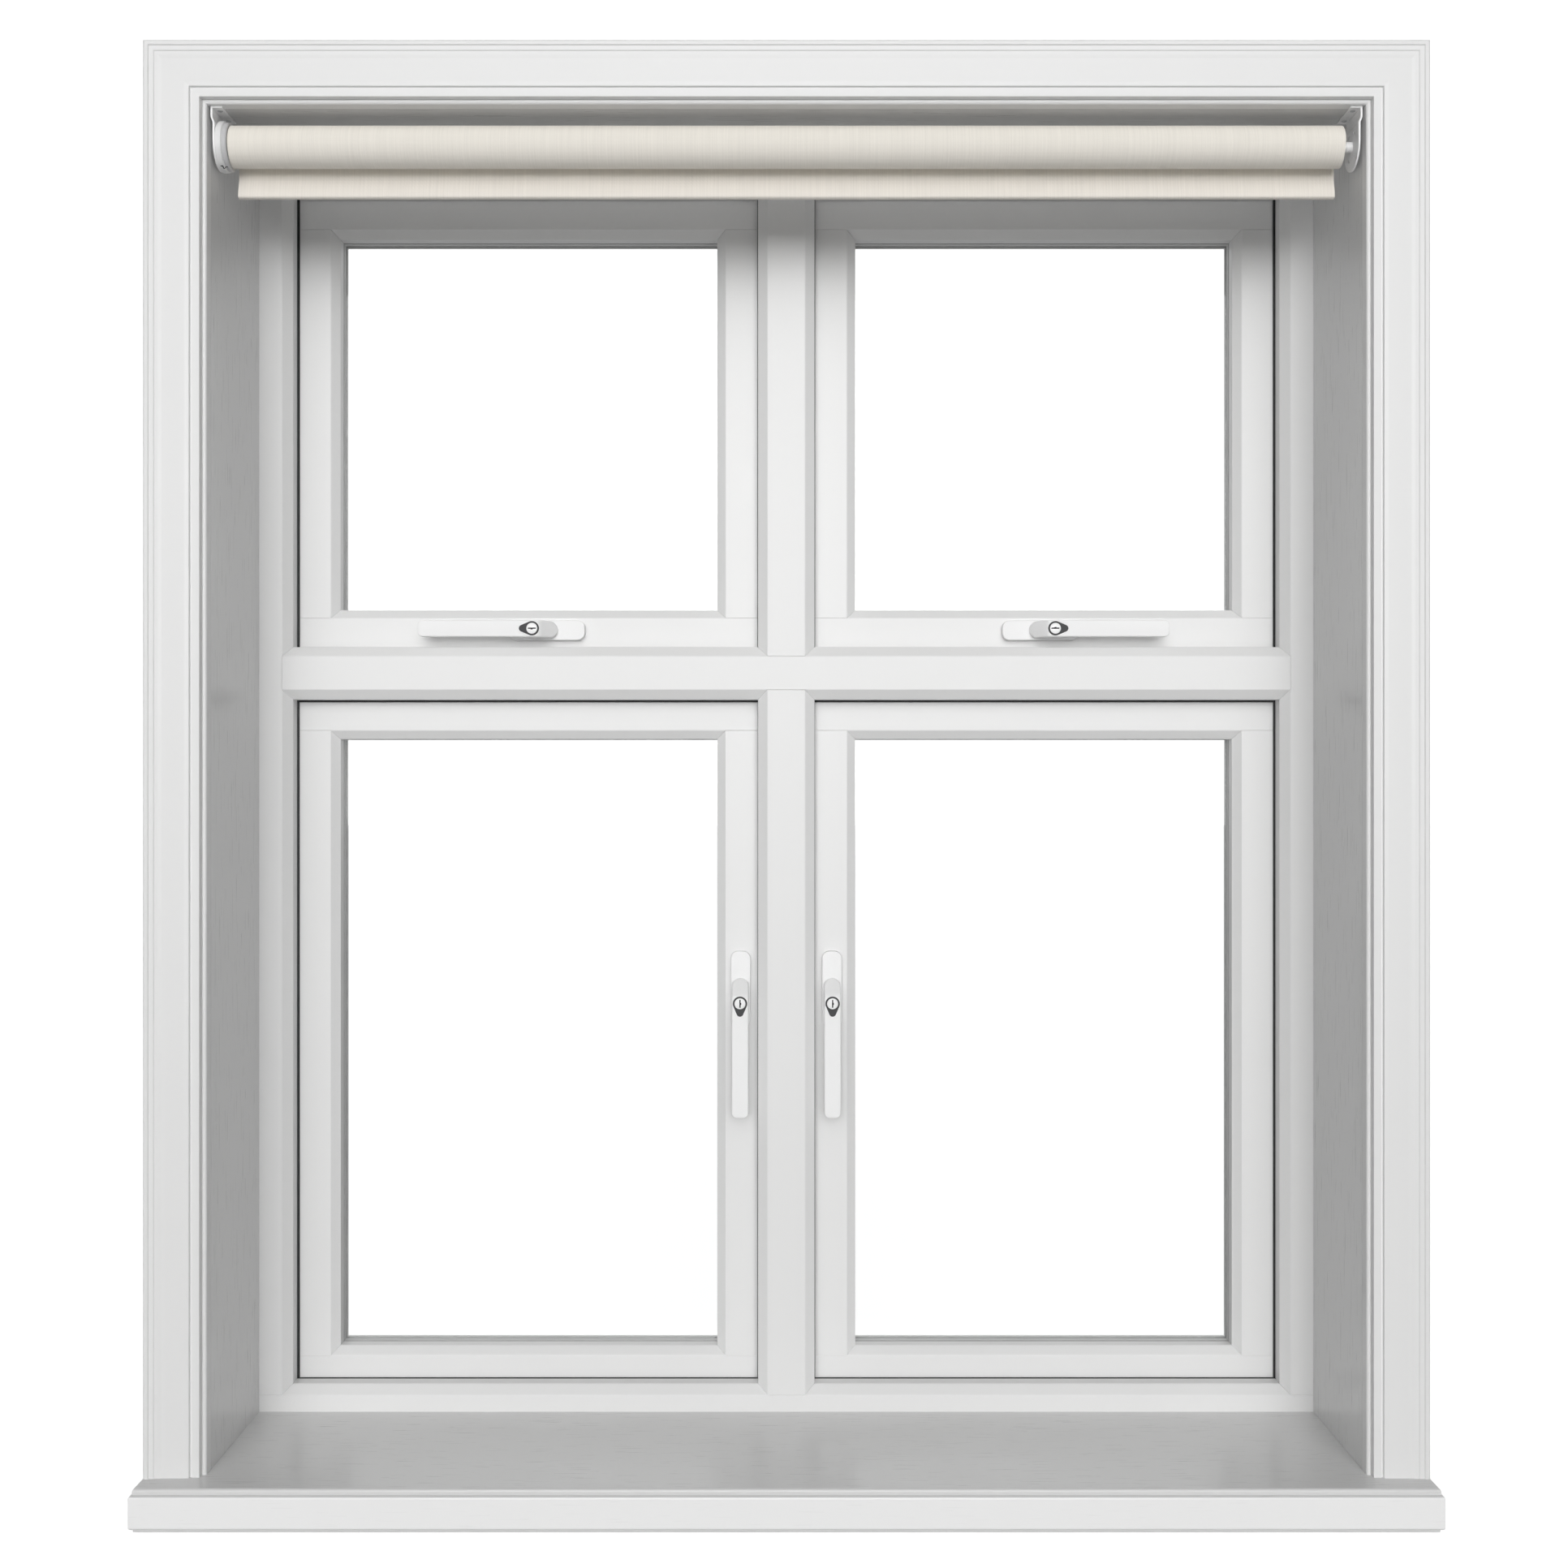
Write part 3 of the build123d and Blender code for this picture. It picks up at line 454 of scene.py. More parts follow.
@dataclass(frozen=True)
class BlindCloth:
    """Plain woven blind cloth with slubs along its warp."""

    name: str
    tone: Tone = (0.895, 0.857, 0.785)
    thread: float = 0.0009

    def make(self) -> bpy.types.Material:
        """Build the material: warp and weft ribs, slub streaks and a soft sheen.

        Returns:
            The material.
        """
        recipe = Recipe(self.name)
        slub = recipe.noise(recipe.place((900.0, 9.0, 1.0), uv=True), 1.0, 3.0)
        weft = recipe.noise(recipe.place((26.0, 700.0, 1.0), uv=True), 1.0, 3.0)
        dark = tuple(c * 0.955 for c in self.tone)
        light = tuple(min(1.0, c * 1.025) for c in self.tone)
        streaks = recipe.mix(recipe.spread(slub, 0.0, 1.0), dark, light)
        bands = recipe.mix(weft, (0.965, 0.962, 0.955), (1.0, 1.0, 1.0))
        recipe.link(recipe.mix(1.0, streaks, bands, "MULTIPLY"), recipe.shader.inputs["Base Color"])
        ribs = []
        for axis in ("X", "Y"):
            wave = recipe.node("ShaderNodeTexWave", bands_direction=axis)
            wave.inputs["Scale"].default_value = 1 / (self.thread * 6.2832) * 0.5
            wave.inputs["Distortion"].default_value = 0.6
            recipe.link(recipe.place((1, 1, 1), uv=True), wave.inputs["Vector"])
            ribs.append(wave.outputs["Fac"])
        crossing = recipe.node("ShaderNodeMath", operation="MAXIMUM")
        recipe.link(ribs[0], crossing.inputs[0])
        recipe.link(ribs[1], crossing.inputs[1])
        woven = recipe.bump(crossing.outputs["Value"], 0.45, 0.00012)
        recipe.link(recipe.bump(slub, 0.3, 0.0002, woven), recipe.shader.inputs["Normal"])
        recipe.set(Roughness=0.85, Sheen_Weight=0.25, Sheen_Roughness=0.5)
        return recipe.material


class Finishes:
    """All finishes of the window, made once and shared."""

    def __init__(self) -> None:
        """Make every material."""
        self.timber_across = Paint("timber_paint_across", Grain.ACROSS, (0.84, 0.84, 0.837)).make()
        self.timber_upright = Paint("timber_paint_upright", Grain.UPRIGHT, (0.84, 0.84, 0.837)).make()
        smooth = {"relief": 0.02, "wear": 0.008, "gloss": 0.28}
        # Window board: painted shade and light, a darker top and a much lighter front face stand in for
        # how the light falls on it.
        self.board = Paint("window_board_paint_light_and_shade", Grain.ACROSS, (0.76, 0.76, 0.757), coat=0.15,
                           painted_light_tone=(0.95, 0.95, 0.948),
                           painted_light_depth=node_box("window_board")[0].y + 0.5 * MM, **smooth).make()
        # Linings: painted shade, tones darker than the casing paint for the shaded reveal, darkest on the
        # head lining.
        self.lining_head_painted_shade = Paint("lining_head_paint_painted_shade", Grain.ACROSS, (0.66, 0.66, 0.658),
                                  coat=0.2, **smooth).make()
        self.lining_side_painted_shade = Paint("lining_side_paint_painted_shade", Grain.UPRIGHT, (0.745, 0.745, 0.743),
                                   coat=0.2, **smooth).make()
        self.glass = ClearGlass("float_glass").make()
        self.seal = Moulding("seal_rubber_black", (0.018, 0.018, 0.019), 0.55).make()
        self.tape = Moulding("glazing_tape_grey", (0.7, 0.7, 0.7), 0.6).make()
        self.spacer = Moulding("spacer_bar_grey", (0.76, 0.76, 0.76), 0.5, 0.00002).make()
        self.edge_seal = Moulding("unit_edge_seal", (0.07, 0.07, 0.075), 0.6).make()
        self.zinc = Metal("zinc_plate", (0.72, 0.73, 0.74), 0.34).make()
        self.stainless = Metal("satin_stainless", (0.66, 0.66, 0.65), 0.3, (60.0, 60.0, 900.0)).make()
        self.enamel = Enamel("handle_powder_coat", (0.95, 0.95, 0.95)).make()
        self.surround = Enamel("lock_surround_grey", (0.06, 0.06, 0.062), 0.62).make()
        self.lock = Enamel("lock_cap_white", (0.96, 0.96, 0.96), 0.35, 0.00001, 0.2).make()
        # Painted shade: near-black walls for the key slot and the clutch's chain slot.
        self.slot_painted_shade = Moulding("slot_black_painted_shade", (0.02, 0.02, 0.022), 0.5).make()
        self.bracket = Enamel("bracket_enamel", (0.95, 0.95, 0.95), 0.4, 0.00002, 0.1).make()
        self.clutch = Moulding("clutch_plastic", (0.86, 0.86, 0.86), 0.34).make()
        # Painted shade: darker grey for the clutch's recessed inner ring.
        self.clutch_inner_painted_shade = Moulding("clutch_inner_plastic_painted_shade", (0.6, 0.6, 0.61), 0.4).make()
        self.tube = Metal("tube_aluminium", (0.78, 0.78, 0.79), 0.3).make()
        self.cloth = BlindCloth("blind_cloth").make()
        self.hem_cloth = BlindCloth("blind_hem_cloth", (0.895, 0.85, 0.785)).make()


# ------------------------------------------------------------------ mesh helpers


def node_box(node: str) -> tuple[Vector, Vector]:
    """Lowest and highest corner of a CAD node at rest."""
    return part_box(node)


def paint_node(node: str, material: bpy.types.Material) -> None:
    """Give a CAD node that stays as it is its finish.

    Args:
        node: the node's name.
        material: its finish.
    """
    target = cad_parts[node]
    if not target.data.materials:
        target.data.materials.append(material)
    for slot in target.material_slots:
        slot.link = "OBJECT"
        slot.material = material
    log.info("%s painted %s", node, material.name)


def piece_from(bm: bmesh.types.BMesh, name: str, materials: Sequence[bpy.types.Material],
               body: str | None, smooth_angle: float | None = None,
               replaced: Sequence[str] = ()) -> bpy.types.Object:
    """Turn a finished bmesh into a piece of the window.

    Args:
        bm: the mesh, which is freed.
        name: the piece's name.
        materials: its finishes, in the order of its faces' indices.
        body: the body it rides on, or None where it is blended later.
        smooth_angle: shade smooth up to this angle in degrees, or flat if None.
        replaced: CAD nodes that it stands for.

    Returns:
        The piece's object.
    """
    mesh = bpy.data.meshes.new(name)
    bm.to_mesh(mesh)
    bm.free()
    for material in materials:
        mesh.materials.append(material)
    if smooth_angle is not None:
        mesh.shade_smooth()
        mesh.set_sharp_from_angle(angle=math.radians(smooth_angle))
    piece = bpy.data.objects.new(name, mesh)
    bpy.context.scene.collection.objects.link(piece)
    if body is not None:
        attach(piece, body)
    if replaced:
        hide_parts(*replaced)
    log.info("%s: %d faces on %s", name, len(mesh.polygons), body)
    return piece


def softened_mesh(node: str, arris: float) -> bmesh.types.BMesh:
    """A copy of a CAD node whose sharp outer edges have a fine round.

    Args:
        node: the CAD node.
        arris: the round's width in metres.

    Returns:
        The copy.
    """
    bm = bmesh.new()
    bm.from_mesh(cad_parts[node].data)
    bmesh.ops.remove_doubles(bm, verts=bm.verts, dist=2e-6)
    bmesh.ops.dissolve_limit(bm, angle_limit=math.radians(0.5), verts=bm.verts, edges=bm.edges)
    sharp = [e for e in bm.edges
             if e.is_manifold and e.is_convex and e.calc_face_angle(0) > math.radians(32)
             and e.calc_length() > 2.5 * arris]
    bmesh.ops.bevel(bm, geom=sharp, offset=arris, offset_type="OFFSET", affect="EDGES",
                    segments=2, profile=0.5, material=-1, clamp_overlap=True)
    return bm


def softened(node: str, material: bpy.types.Material, body: str, arris: float) -> None:
    """Replace a CAD node by its copy with eased edges.

    Args:
        node: the CAD node.
        material: its finish.
        body: the body it rides on.
        arris: the round's width in metres.
    """
    piece_from(softened_mesh(node, arris), f"{node}_finished", [material], body, None, [node])


def edges_of(verts: Iterable[bmesh.types.BMVert]) -> list[bmesh.types.BMEdge]:
    """Each edge at these vertices once, in their order."""
    return list(dict.fromkeys(e for v in verts for e in v.link_edges))


def faces_of(verts: Iterable[bmesh.types.BMVert]) -> list[bmesh.types.BMFace]:
    """Each face at these vertices once, in their order."""
    return list(dict.fromkeys(f for v in verts for f in v.link_faces))


def top_edges(bm: bmesh.types.BMesh, height: float) -> list[bmesh.types.BMEdge]:
    """The edges of a mesh that lie at this height or above."""
    return [e for e in bm.edges if all(v.co.z > height - 1e-6 for v in e.verts)]


def pulled(bm: bmesh.types.BMesh, edges: Sequence[bmesh.types.BMEdge],
           ) -> tuple[list[bmesh.types.BMEdge], list[bmesh.types.BMVert]]:
    """Pull a row of edges out into a new row, in place.

    Args:
        bm: the mesh.
        edges: the row.

    Returns:
        The new row's edges and vertices, to be moved.
    """
    grown = bmesh.ops.extrude_edge_only(bm, edges=edges)["geom"]
    verts = [g for g in grown if isinstance(g, bmesh.types.BMVert)]
    fresh = set(verts)
    row = [g for g in grown if isinstance(g, bmesh.types.BMEdge) and fresh.issuperset(g.verts)]
    return row, verts


def add_box(bm: bmesh.types.BMesh, low: Vector, high: Vector, index: int = 0) -> list[bmesh.types.BMVert]:
    """Add a box between two corners.

    Args:
        bm: the mesh.
        low: lowest corner.
        high: highest corner.
        index: its faces' material index.

    Returns:
        Its vertices.
    """
    size = high - low
    place = Matrix.Translation((low + high) / 2) @ Matrix.Diagonal((*size, 1))
    made = bmesh.ops.create_cube(bm, size=1.0, matrix=place)["verts"]
    for face in faces_of(made):
        face.material_index = index
    return made


def soften_edges(bm: bmesh.types.BMesh, edges: Iterable[bmesh.types.BMEdge], width: float,
                 segments: int) -> None:
    """Round these edges."""
    bmesh.ops.bevel(bm, geom=list(edges), offset=width, offset_type="OFFSET", affect="EDGES",
                    segments=segments, profile=0.5, material=-1, clamp_overlap=True)


def add_rod(bm: bmesh.types.BMesh, start: Vector, end: Vector, radii: tuple[float, float],
            segments: int, index: int = 0) -> list[bmesh.types.BMVert]:
    """Add a round bar or cone between two points.

    Args:
        bm: the mesh.
        start: the first end's centre.
        end: the other end's centre.
        radii: its radius at each end.
        segments: corners around it.
        index: its faces' material index.

    Returns:
        Its vertices.
    """
    axis = end - start
    turn = UP.rotation_difference(axis.normalized()).to_matrix().to_4x4()
    place = Matrix.Translation((start + end) / 2) @ turn
    made = bmesh.ops.create_cone(bm, cap_ends=True, cap_tris=False, segments=segments,
                                 radius1=radii[0], radius2=radii[1], depth=axis.length,
                                 matrix=place)["verts"]
    for face in faces_of(made):
        face.material_index = index
    return made


def add_ring_frame(bm: bmesh.types.BMesh, inner: tuple[Vector, Vector], reach: float,
                   y0: float, y1: float, index: int = 0) -> None:
    """Add a rectangular ring around an opening of the wall plane.

    Args:
        bm: the mesh.
        inner: lowest and highest corner of the opening.
        reach: the ring's width.
        y0: its face to the room.
        y1: its face outdoors.
        index: its faces' material index.
    """
    low, high = inner
    corners = [bm.verts.new((x, y0, z)) for x, z in
               ((low.x, low.z), (high.x, low.z), (high.x, high.z), (low.x, high.z))]
    loop = [bm.edges.new((corners[i], corners[(i + 1) % 4])) for i in range(4)]
    middle = (low + high) / 2
    grown = bmesh.ops.extrude_edge_only(bm, edges=loop)
    for vert in [g for g in grown["geom"] if isinstance(g, bmesh.types.BMVert)]:
        vert.co.x += reach if vert.co.x > middle.x else -reach
        vert.co.z += reach if vert.co.z > middle.z else -reach
    faces = [g for g in grown["geom"] if isinstance(g, bmesh.types.BMFace)]
    deep = bmesh.ops.extrude_face_region(bm, geom=faces)
    moved = [g for g in deep["geom"] if isinstance(g, bmesh.types.BMVert)]
    bmesh.ops.translate(bm, verts=moved, vec=(0, y1 - y0, 0))
    solid = faces_of(corners + moved)
    for face in solid:
        face.material_index = index
    bmesh.ops.recalc_face_normals(bm, faces=solid)


class Loft:
    """A closed body through rounded rectangles along one axis."""

    def __init__(self, segments: int) -> None:
        """Start with no section.

        Args:
            segments: corners of each section, a multiple of four.
        """
        self.bm = bmesh.new()
        self.segments = segments
        self.last: list[bmesh.types.BMEdge] = []

    def section(self, along: float, half: float, low: float, high: float, corner: float) -> None:
        """Add a section across x.

        Args:
            along: its place on x.
            half: half its width on y.
            low: its lowest z.
            high: its highest z.
            corner: the radius of its corners.
        """
        radius = min(corner, half * 0.98, (high - low) * 0.49)
        middle = Vector((along, 0, (low + high) / 2))
        stand = Matrix.Rotation(math.pi / 2, 4, "Y") @ Matrix.Rotation(math.pi / self.segments, 4, "Z")
        ring = bmesh.ops.create_circle(self.bm, cap_ends=False, segments=self.segments,
                                       radius=radius, matrix=stand)["verts"]
        for vert in ring:
            vert.co.y += math.copysign(half - radius, vert.co.y)
            vert.co.z += math.copysign((high - low) / 2 - radius, vert.co.z)
            vert.co += middle
        edges = edges_of(ring)
        if self.last:
            bmesh.ops.bridge_loops(self.bm, edges=self.last + edges)
        else:
            bmesh.ops.edgeloop_fill(self.bm, edges=edges)
        self.last = edges

    def close(self) -> bmesh.types.BMesh:
        """Cap the last section and turn the faces outwards.

        Returns:
            The finished mesh.
        """
        bmesh.ops.edgeloop_fill(self.bm, edges=self.last)
        bmesh.ops.recalc_face_normals(self.bm, faces=self.bm.faces)
        return self.bm


def carved(bm: bmesh.types.BMesh, cutters: Sequence[bmesh.types.BMesh]) -> bmesh.types.BMesh:
    """Cut solids out of a solid.

    Args:
        bm: the solid, which is freed.
        cutters: what is cut away, which are freed.

    Returns:
        The cut solid.
    """
    meshes = []
    for shape in (bm, *cutters):
        mesh = bpy.data.meshes.new("carving")
        shape.to_mesh(mesh)
        shape.free()
        meshes.append(mesh)
    body = bpy.data.objects.new("carving_body", meshes[0])
    bpy.context.scene.collection.objects.link(body)
    tools = []
    for mesh in meshes[1:]:
        tool = bpy.data.objects.new("carving_tool", mesh)
        bpy.context.scene.collection.objects.link(tool)
        cut = body.modifiers.new("cut", "BOOLEAN")
        cut.operation = "DIFFERENCE"
        cut.solver = "EXACT"
        cut.object = tool
        tools.append(tool)
    bpy.context.view_layer.update()
    evaluated = body.evaluated_get(bpy.context.evaluated_depsgraph_get())
    result = bmesh.new()
    result.from_mesh(evaluated.to_mesh())
    for thing in (body, *tools):
        bpy.data.objects.remove(thing)
    for mesh in meshes:
        bpy.data.meshes.remove(mesh)
    return result


def thickened(bm: bmesh.types.BMesh, thickness: float) -> bmesh.types.BMesh:
    """Give a cloth sheet its thickness, half to each side.

    Args:
        bm: the open sheet with its UV map, which is freed.
        thickness: the cloth's thickness.

    Returns:
        The closed sheet.
    """
    bmesh.ops.recalc_face_normals(bm, faces=bm.faces)
    mesh = bpy.data.meshes.new("cloth")
    bm.to_mesh(mesh)
    bm.free()
    body = bpy.data.objects.new("cloth_body", mesh)
    bpy.context.scene.collection.objects.link(body)
    wall = body.modifiers.new("wall", "SOLIDIFY")
    wall.thickness = thickness
    wall.offset = 0.0
    wall.use_even_offset = True
    bpy.context.view_layer.update()
    evaluated = body.evaluated_get(bpy.context.evaluated_depsgraph_get())
    result = bmesh.new()
    result.from_mesh(evaluated.to_mesh())
    bpy.data.objects.remove(body)
    bpy.data.meshes.remove(mesh)
    return result


def merged(target: bmesh.types.BMesh, part: bmesh.types.BMesh, place: Matrix, index: int) -> None:
    """Add a transformed copy of a small mesh to a larger one.

    Args:
        target: the mesh that grows.
        part: what is added.
        place: where it goes.
        index: its faces' material index.
    """
    mesh = bpy.data.meshes.new("part")
    moved = part.copy()
    bmesh.ops.transform(moved, matrix=place, verts=moved.verts)
    for face in moved.faces:
        face.material_index = index
    moved.to_mesh(mesh)
    moved.free()
    target.from_mesh(mesh)
    bpy.data.meshes.remove(mesh)


@dataclass
class Screw:
    """Countersunk screw head with a cross recess."""

    radius: float = 3.6 * MM
    rise: float = 0.5 * MM
    recess: float = 0.45 * MM

    def head(self) -> bmesh.types.BMesh:
        """Model one head about the origin, facing +Z.

        Returns:
            The mesh.
        """
        bm = bmesh.new()
        add_rod(bm, DOWN * self.rise, UP * self.rise, (self.radius, self.radius * 0.82), 20)
        soften_edges(bm, top_edges(bm, self.rise), self.rise * 0.35, 2)
        arm = self.radius * 0.55
        width = self.radius * 0.13
        cross = bmesh.new()
        top = self.rise * 1.5
        add_box(cross, Vector((-arm, -width, self.rise - self.recess)), Vector((arm, width, top)))
        other = bmesh.new()
        add_box(other, Vector((-width, -arm, self.rise - self.recess)), Vector((width, arm, top)))
        return carved(bm, [cross, other])


def facing(normal: Vector, spot: Vector, spin: float = 0.0) -> Matrix:
    """A place whose +Z is this normal, turned about it."""
    turn = UP.rotation_difference(normal).to_matrix().to_4x4()
    return Matrix.Translation(spot) @ turn @ Matrix.Rotation(spin, 4, "Z")


# ------------------------------------------------------------------ joinery


@dataclass
class Joinery:
    """Casings, window board, linings and frame."""

    finishes: Finishes
    timber_arris: float = 0.7 * MM
    board_arris: float = 0.4 * MM

    def dress_trim(self) -> None:
        """Casings and window board keep their moulded shape and get their paint; the board's paint
        carries painted light and shade.
        """
        for side in ("left", "right"):
            paint_node(f"casing_{side}", self.finishes.timber_upright)
        paint_node("casing_head", self.finishes.timber_across)
        paint_node("window_board", self.finishes.board)

    def line_reveal(self) -> None:
        """The three linings with eased edges, in tones darkened as painted shade."""
        for side in ("left", "right"):
            softened(f"lining_{side}", self.finishes.lining_side_painted_shade, "frame",
                     self.board_arris)
        softened("lining_head", self.finishes.lining_head_painted_shade, "frame",
                 self.board_arris)

    def build_frame(self) -> None:
        """Frame members with eased edges."""
        for node in ("frame_head", "frame_sill", "transom"):
            softened(node, self.finishes.timber_across, "frame",
                     self.timber_arris)
        for node in ("frame_jamb_left", "frame_jamb_right", "mullion_upper", "mullion_lower"):
            softened(node, self.finishes.timber_upright, "frame",
                     self.timber_arris)


@dataclass
class FrameFurniture:
    """Weather seals, keeps and the frame side of the hinges."""

    finishes: Finishes
    keep_screw: Screw = field(default_factory=lambda: Screw(2.6 * MM, 0.4 * MM, 0.35 * MM))
    keep_screw_reach: float = 24.0 * MM

    def fit_seals(self) -> None:
        """Rubber weather seals with softened lips."""
        softened("frame_gaskets", self.finishes.seal, "frame", 0.3 * MM)

    def fit_metal(self) -> None:
        """Keeps and hinge leaves get their plating."""
        paint_node("lock_keeps", self.finishes.zinc)
        paint_node("hinge_frame_leaves", self.finishes.stainless)

    def fit_keep_screws(self) -> None:
        """Two screws in each keep, read from the keeps' own solids."""
        bm = bmesh.new()
        head = self.keep_screw.head()
        for low, high in islands("lock_keeps"):
            size = high - low
            middle = (low + high) / 2
            if size.z > size.x:
                along = UP
                inward = RIGHT if middle.x > 0 else LEFT
            else:
                along = RIGHT
                inward = UP
            spot = middle + inward * abs(size.dot(inward)) / 2
            for way in (-1, 1):
                place = spot + along * way * self.keep_screw_reach
                merged(bm, head, facing(inward, place, 0.4 * way), 0)
        head.free()
        piece_from(bm, "keep_screws", [self.finishes.zinc], "frame", 30)


def islands(node: str) -> list[tuple[Vector, Vector]]:
    """The boxes of a node's separate solids.

    Args:
        node: the CAD node.

    Returns:
        Lowest and highest corner of each solid.
    """
    bm = bmesh.new()
    bm.from_mesh(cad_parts[node].data)
    bmesh.ops.remove_doubles(bm, verts=bm.verts, dist=2e-6)
    boxes = []
    seen: set[bmesh.types.BMVert] = set()
    for first in bm.verts:
        if first in seen:
            continue
        seen.add(first)
        stack = [first]
        found = []
        while stack:
            vert = stack.pop()
            found.append(vert.co.copy())
            for edge in vert.link_edges:
                other = edge.other_vert(vert)
                if other not in seen:
                    seen.add(other)
                    stack.append(other)
        boxes.append((Vector(min(c[i] for c in found) for i in range(3)),
                      Vector(max(c[i] for c in found) for i in range(3))))
    bm.free()
    return boxes


# ------------------------------------------------------------------ sashes


@dataclass
class SashJoinery:
    """One sash: rails, stiles, beads and its sealed glass unit."""

    finishes: Finishes
    name: SashName
    arris: float = 0.8 * MM
    pane_thickness: float = 4.0 * MM
    pane_rebate: float = 7.0 * MM
    spacer_inset: float = 0.4 * MM
    spacer_width: float = 5.0 * MM
    tape_width: float = 6.5 * MM
    tape_thickness: float = 1.0 * MM

    @property
    def body(self) -> str:
        """The sash's body."""
        return f"{self.name.value}_sash"

    def sight(self) -> tuple[Vector, Vector]:
        """The visible glass: lowest and highest corner, between the panes' outer faces.

        Returns:
            The two corners.
        """
        low, high = node_box(f"{self.name.value}_glass")
        inset = Vector((self.pane_rebate, 0, self.pane_rebate))
        return low + inset, high - inset

    def build_timber(self) -> None:
        """Rails, stiles and beads with eased edges, so that each joint shows as a fine line."""
        prefix = self.name.value
        softened(f"{prefix}_rails", self.finishes.timber_across, self.body,
                 self.arris)
        softened(f"{prefix}_stiles", self.finishes.timber_upright, self.body,
                 self.arris)
        softened(f"{prefix}_glazing_beads", self.finishes.timber_across, self.body,
                 self.arris)

    def glaze(self) -> None:
        """Glass, spacer frame, edge seal and glazing tape."""
        prefix = self.name.value
        paint_node(f"{prefix}_glass", self.finishes.glass)
        low, high = self.sight()
        inner = self.pane_thickness
        bm = bmesh.new()
        inset = Vector((self.spacer_inset, 0, self.spacer_inset))
        opening = (low - inset, high + inset)
        add_ring_frame(bm, opening, self.spacer_width, low.y + inner, high.y - inner, 0)
        seal = Vector((self.spacer_width, 0, self.spacer_width))
        edge = (opening[0] - seal, opening[1] + seal)
        reach = self.pane_rebate - self.spacer_inset - self.spacer_width
        add_ring_frame(bm, edge, reach, low.y + inner, high.y - inner, 1)
        piece_from(bm, f"{prefix}_glass_spacer", [self.finishes.spacer, self.finishes.edge_seal],
                   self.body)
        tape = bmesh.new()
        for y0, y1 in ((low.y - self.tape_thickness, low.y), (high.y, high.y + self.tape_thickness)):
            add_ring_frame(tape, (low, high), self.tape_width, y0, y1, 0)
        piece_from(tape, f"{prefix}_glazing_tape", [self.finishes.tape], self.body)

    def hang(self) -> None:
        """Sash hinge leaves and drive rod get their finishes."""
        prefix = self.name.value
        paint_node(f"{prefix}_hinge_leaves", self.finishes.stainless)
        paint_node(f"{prefix}_drive_rod", self.finishes.zinc)


@dataclass
class HingeScrews:
    """Three screws in every hinge leaf, set out from the leaves' own solids."""

    finishes: Finishes
    screw: Screw = field(default_factory=Screw)
    rows: tuple[int, ...] = (-1, 0, 1)
    end_inset: float = 9.0 * MM
    sash_inset: float = 8.5 * MM
    frame_inset: float = 6.0 * MM
    leaf_thickness: float = 2.5 * MM
    shortest_leaf: float = 40.0 * MM
    narrowest_leaf: float = 15.0 * MM

    def spots(self, node: str, seat: str, way: Vector | None, inset: float) -> list[Vector]:
        """Screw places on each leaf of a node.

        Args:
            node: the leaves' CAD node.
            seat: the CAD node whose outdoor face the leaves lie on.
            way: the way from a leaf's middle to its screws, or None for away from the window.
            inset: from the leaf's edge to the screws.

        Returns:
            Points on the leaves' outdoor faces.
        """
        found = []
        face = node_box(seat)[1].y + self.leaf_thickness
        for low, high in islands(node):
            size = high - low
            middle = (low + high) / 2
            along = RIGHT if size.x > size.z else UP
            length = size.dot(along)
            width = min(size.x, size.z)
            if length < self.shortest_leaf or width < self.narrowest_leaf:
                continue
            side = way
            if side is None:
                side = UP if along == RIGHT else RIGHT * math.copysign(1, middle.x)
            for share in self.rows:
                spot = middle + side * (width / 2 - inset) + along * share * (length / 2 - self.end_inset)
                spot.y = face
                found.append(spot)
        return found

    def fit(self) -> None:
        """Build the screws of the four sashes' leaves and of the frame's leaves."""
        steel = [self.finishes.stainless]
        head = self.screw.head()
        for name in SashName:
            prefix = name.value
            bm = bmesh.new()
            leaves = self.spots(f"{prefix}_hinge_leaves", f"{prefix}_rails", -name.hinge_way,
                                self.sash_inset)
            for count, spot in enumerate(leaves):
                merged(bm, head, facing(OUTDOORS, spot, 0.7 * count), 0)
            piece_from(bm, f"{prefix}_hinge_screws", steel, f"{prefix}_sash", 30)
        bm = bmesh.new()
        leaves = self.spots("hinge_frame_leaves", "frame_jamb_left", None, self.frame_inset)
        for count, spot in enumerate(leaves):
            merged(bm, head, facing(OUTDOORS, spot, 0.5 * (count % len(self.rows))), 0)
        piece_from(bm, "frame_hinge_screws", steel, "frame", 30)
        head.free()


# ------------------------------------------------------------------ handles


@dataclass(frozen=True)
class HandlePiece:
    """A handle piece that is modelled once and fitted to each sash."""

    name: str
    shape: bmesh.types.BMesh
    materials: Sequence[bpy.types.Material]
    body: str
    slot: str
    smooth_angle: float = 35.0
    stands_for: tuple[str, ...] = ()


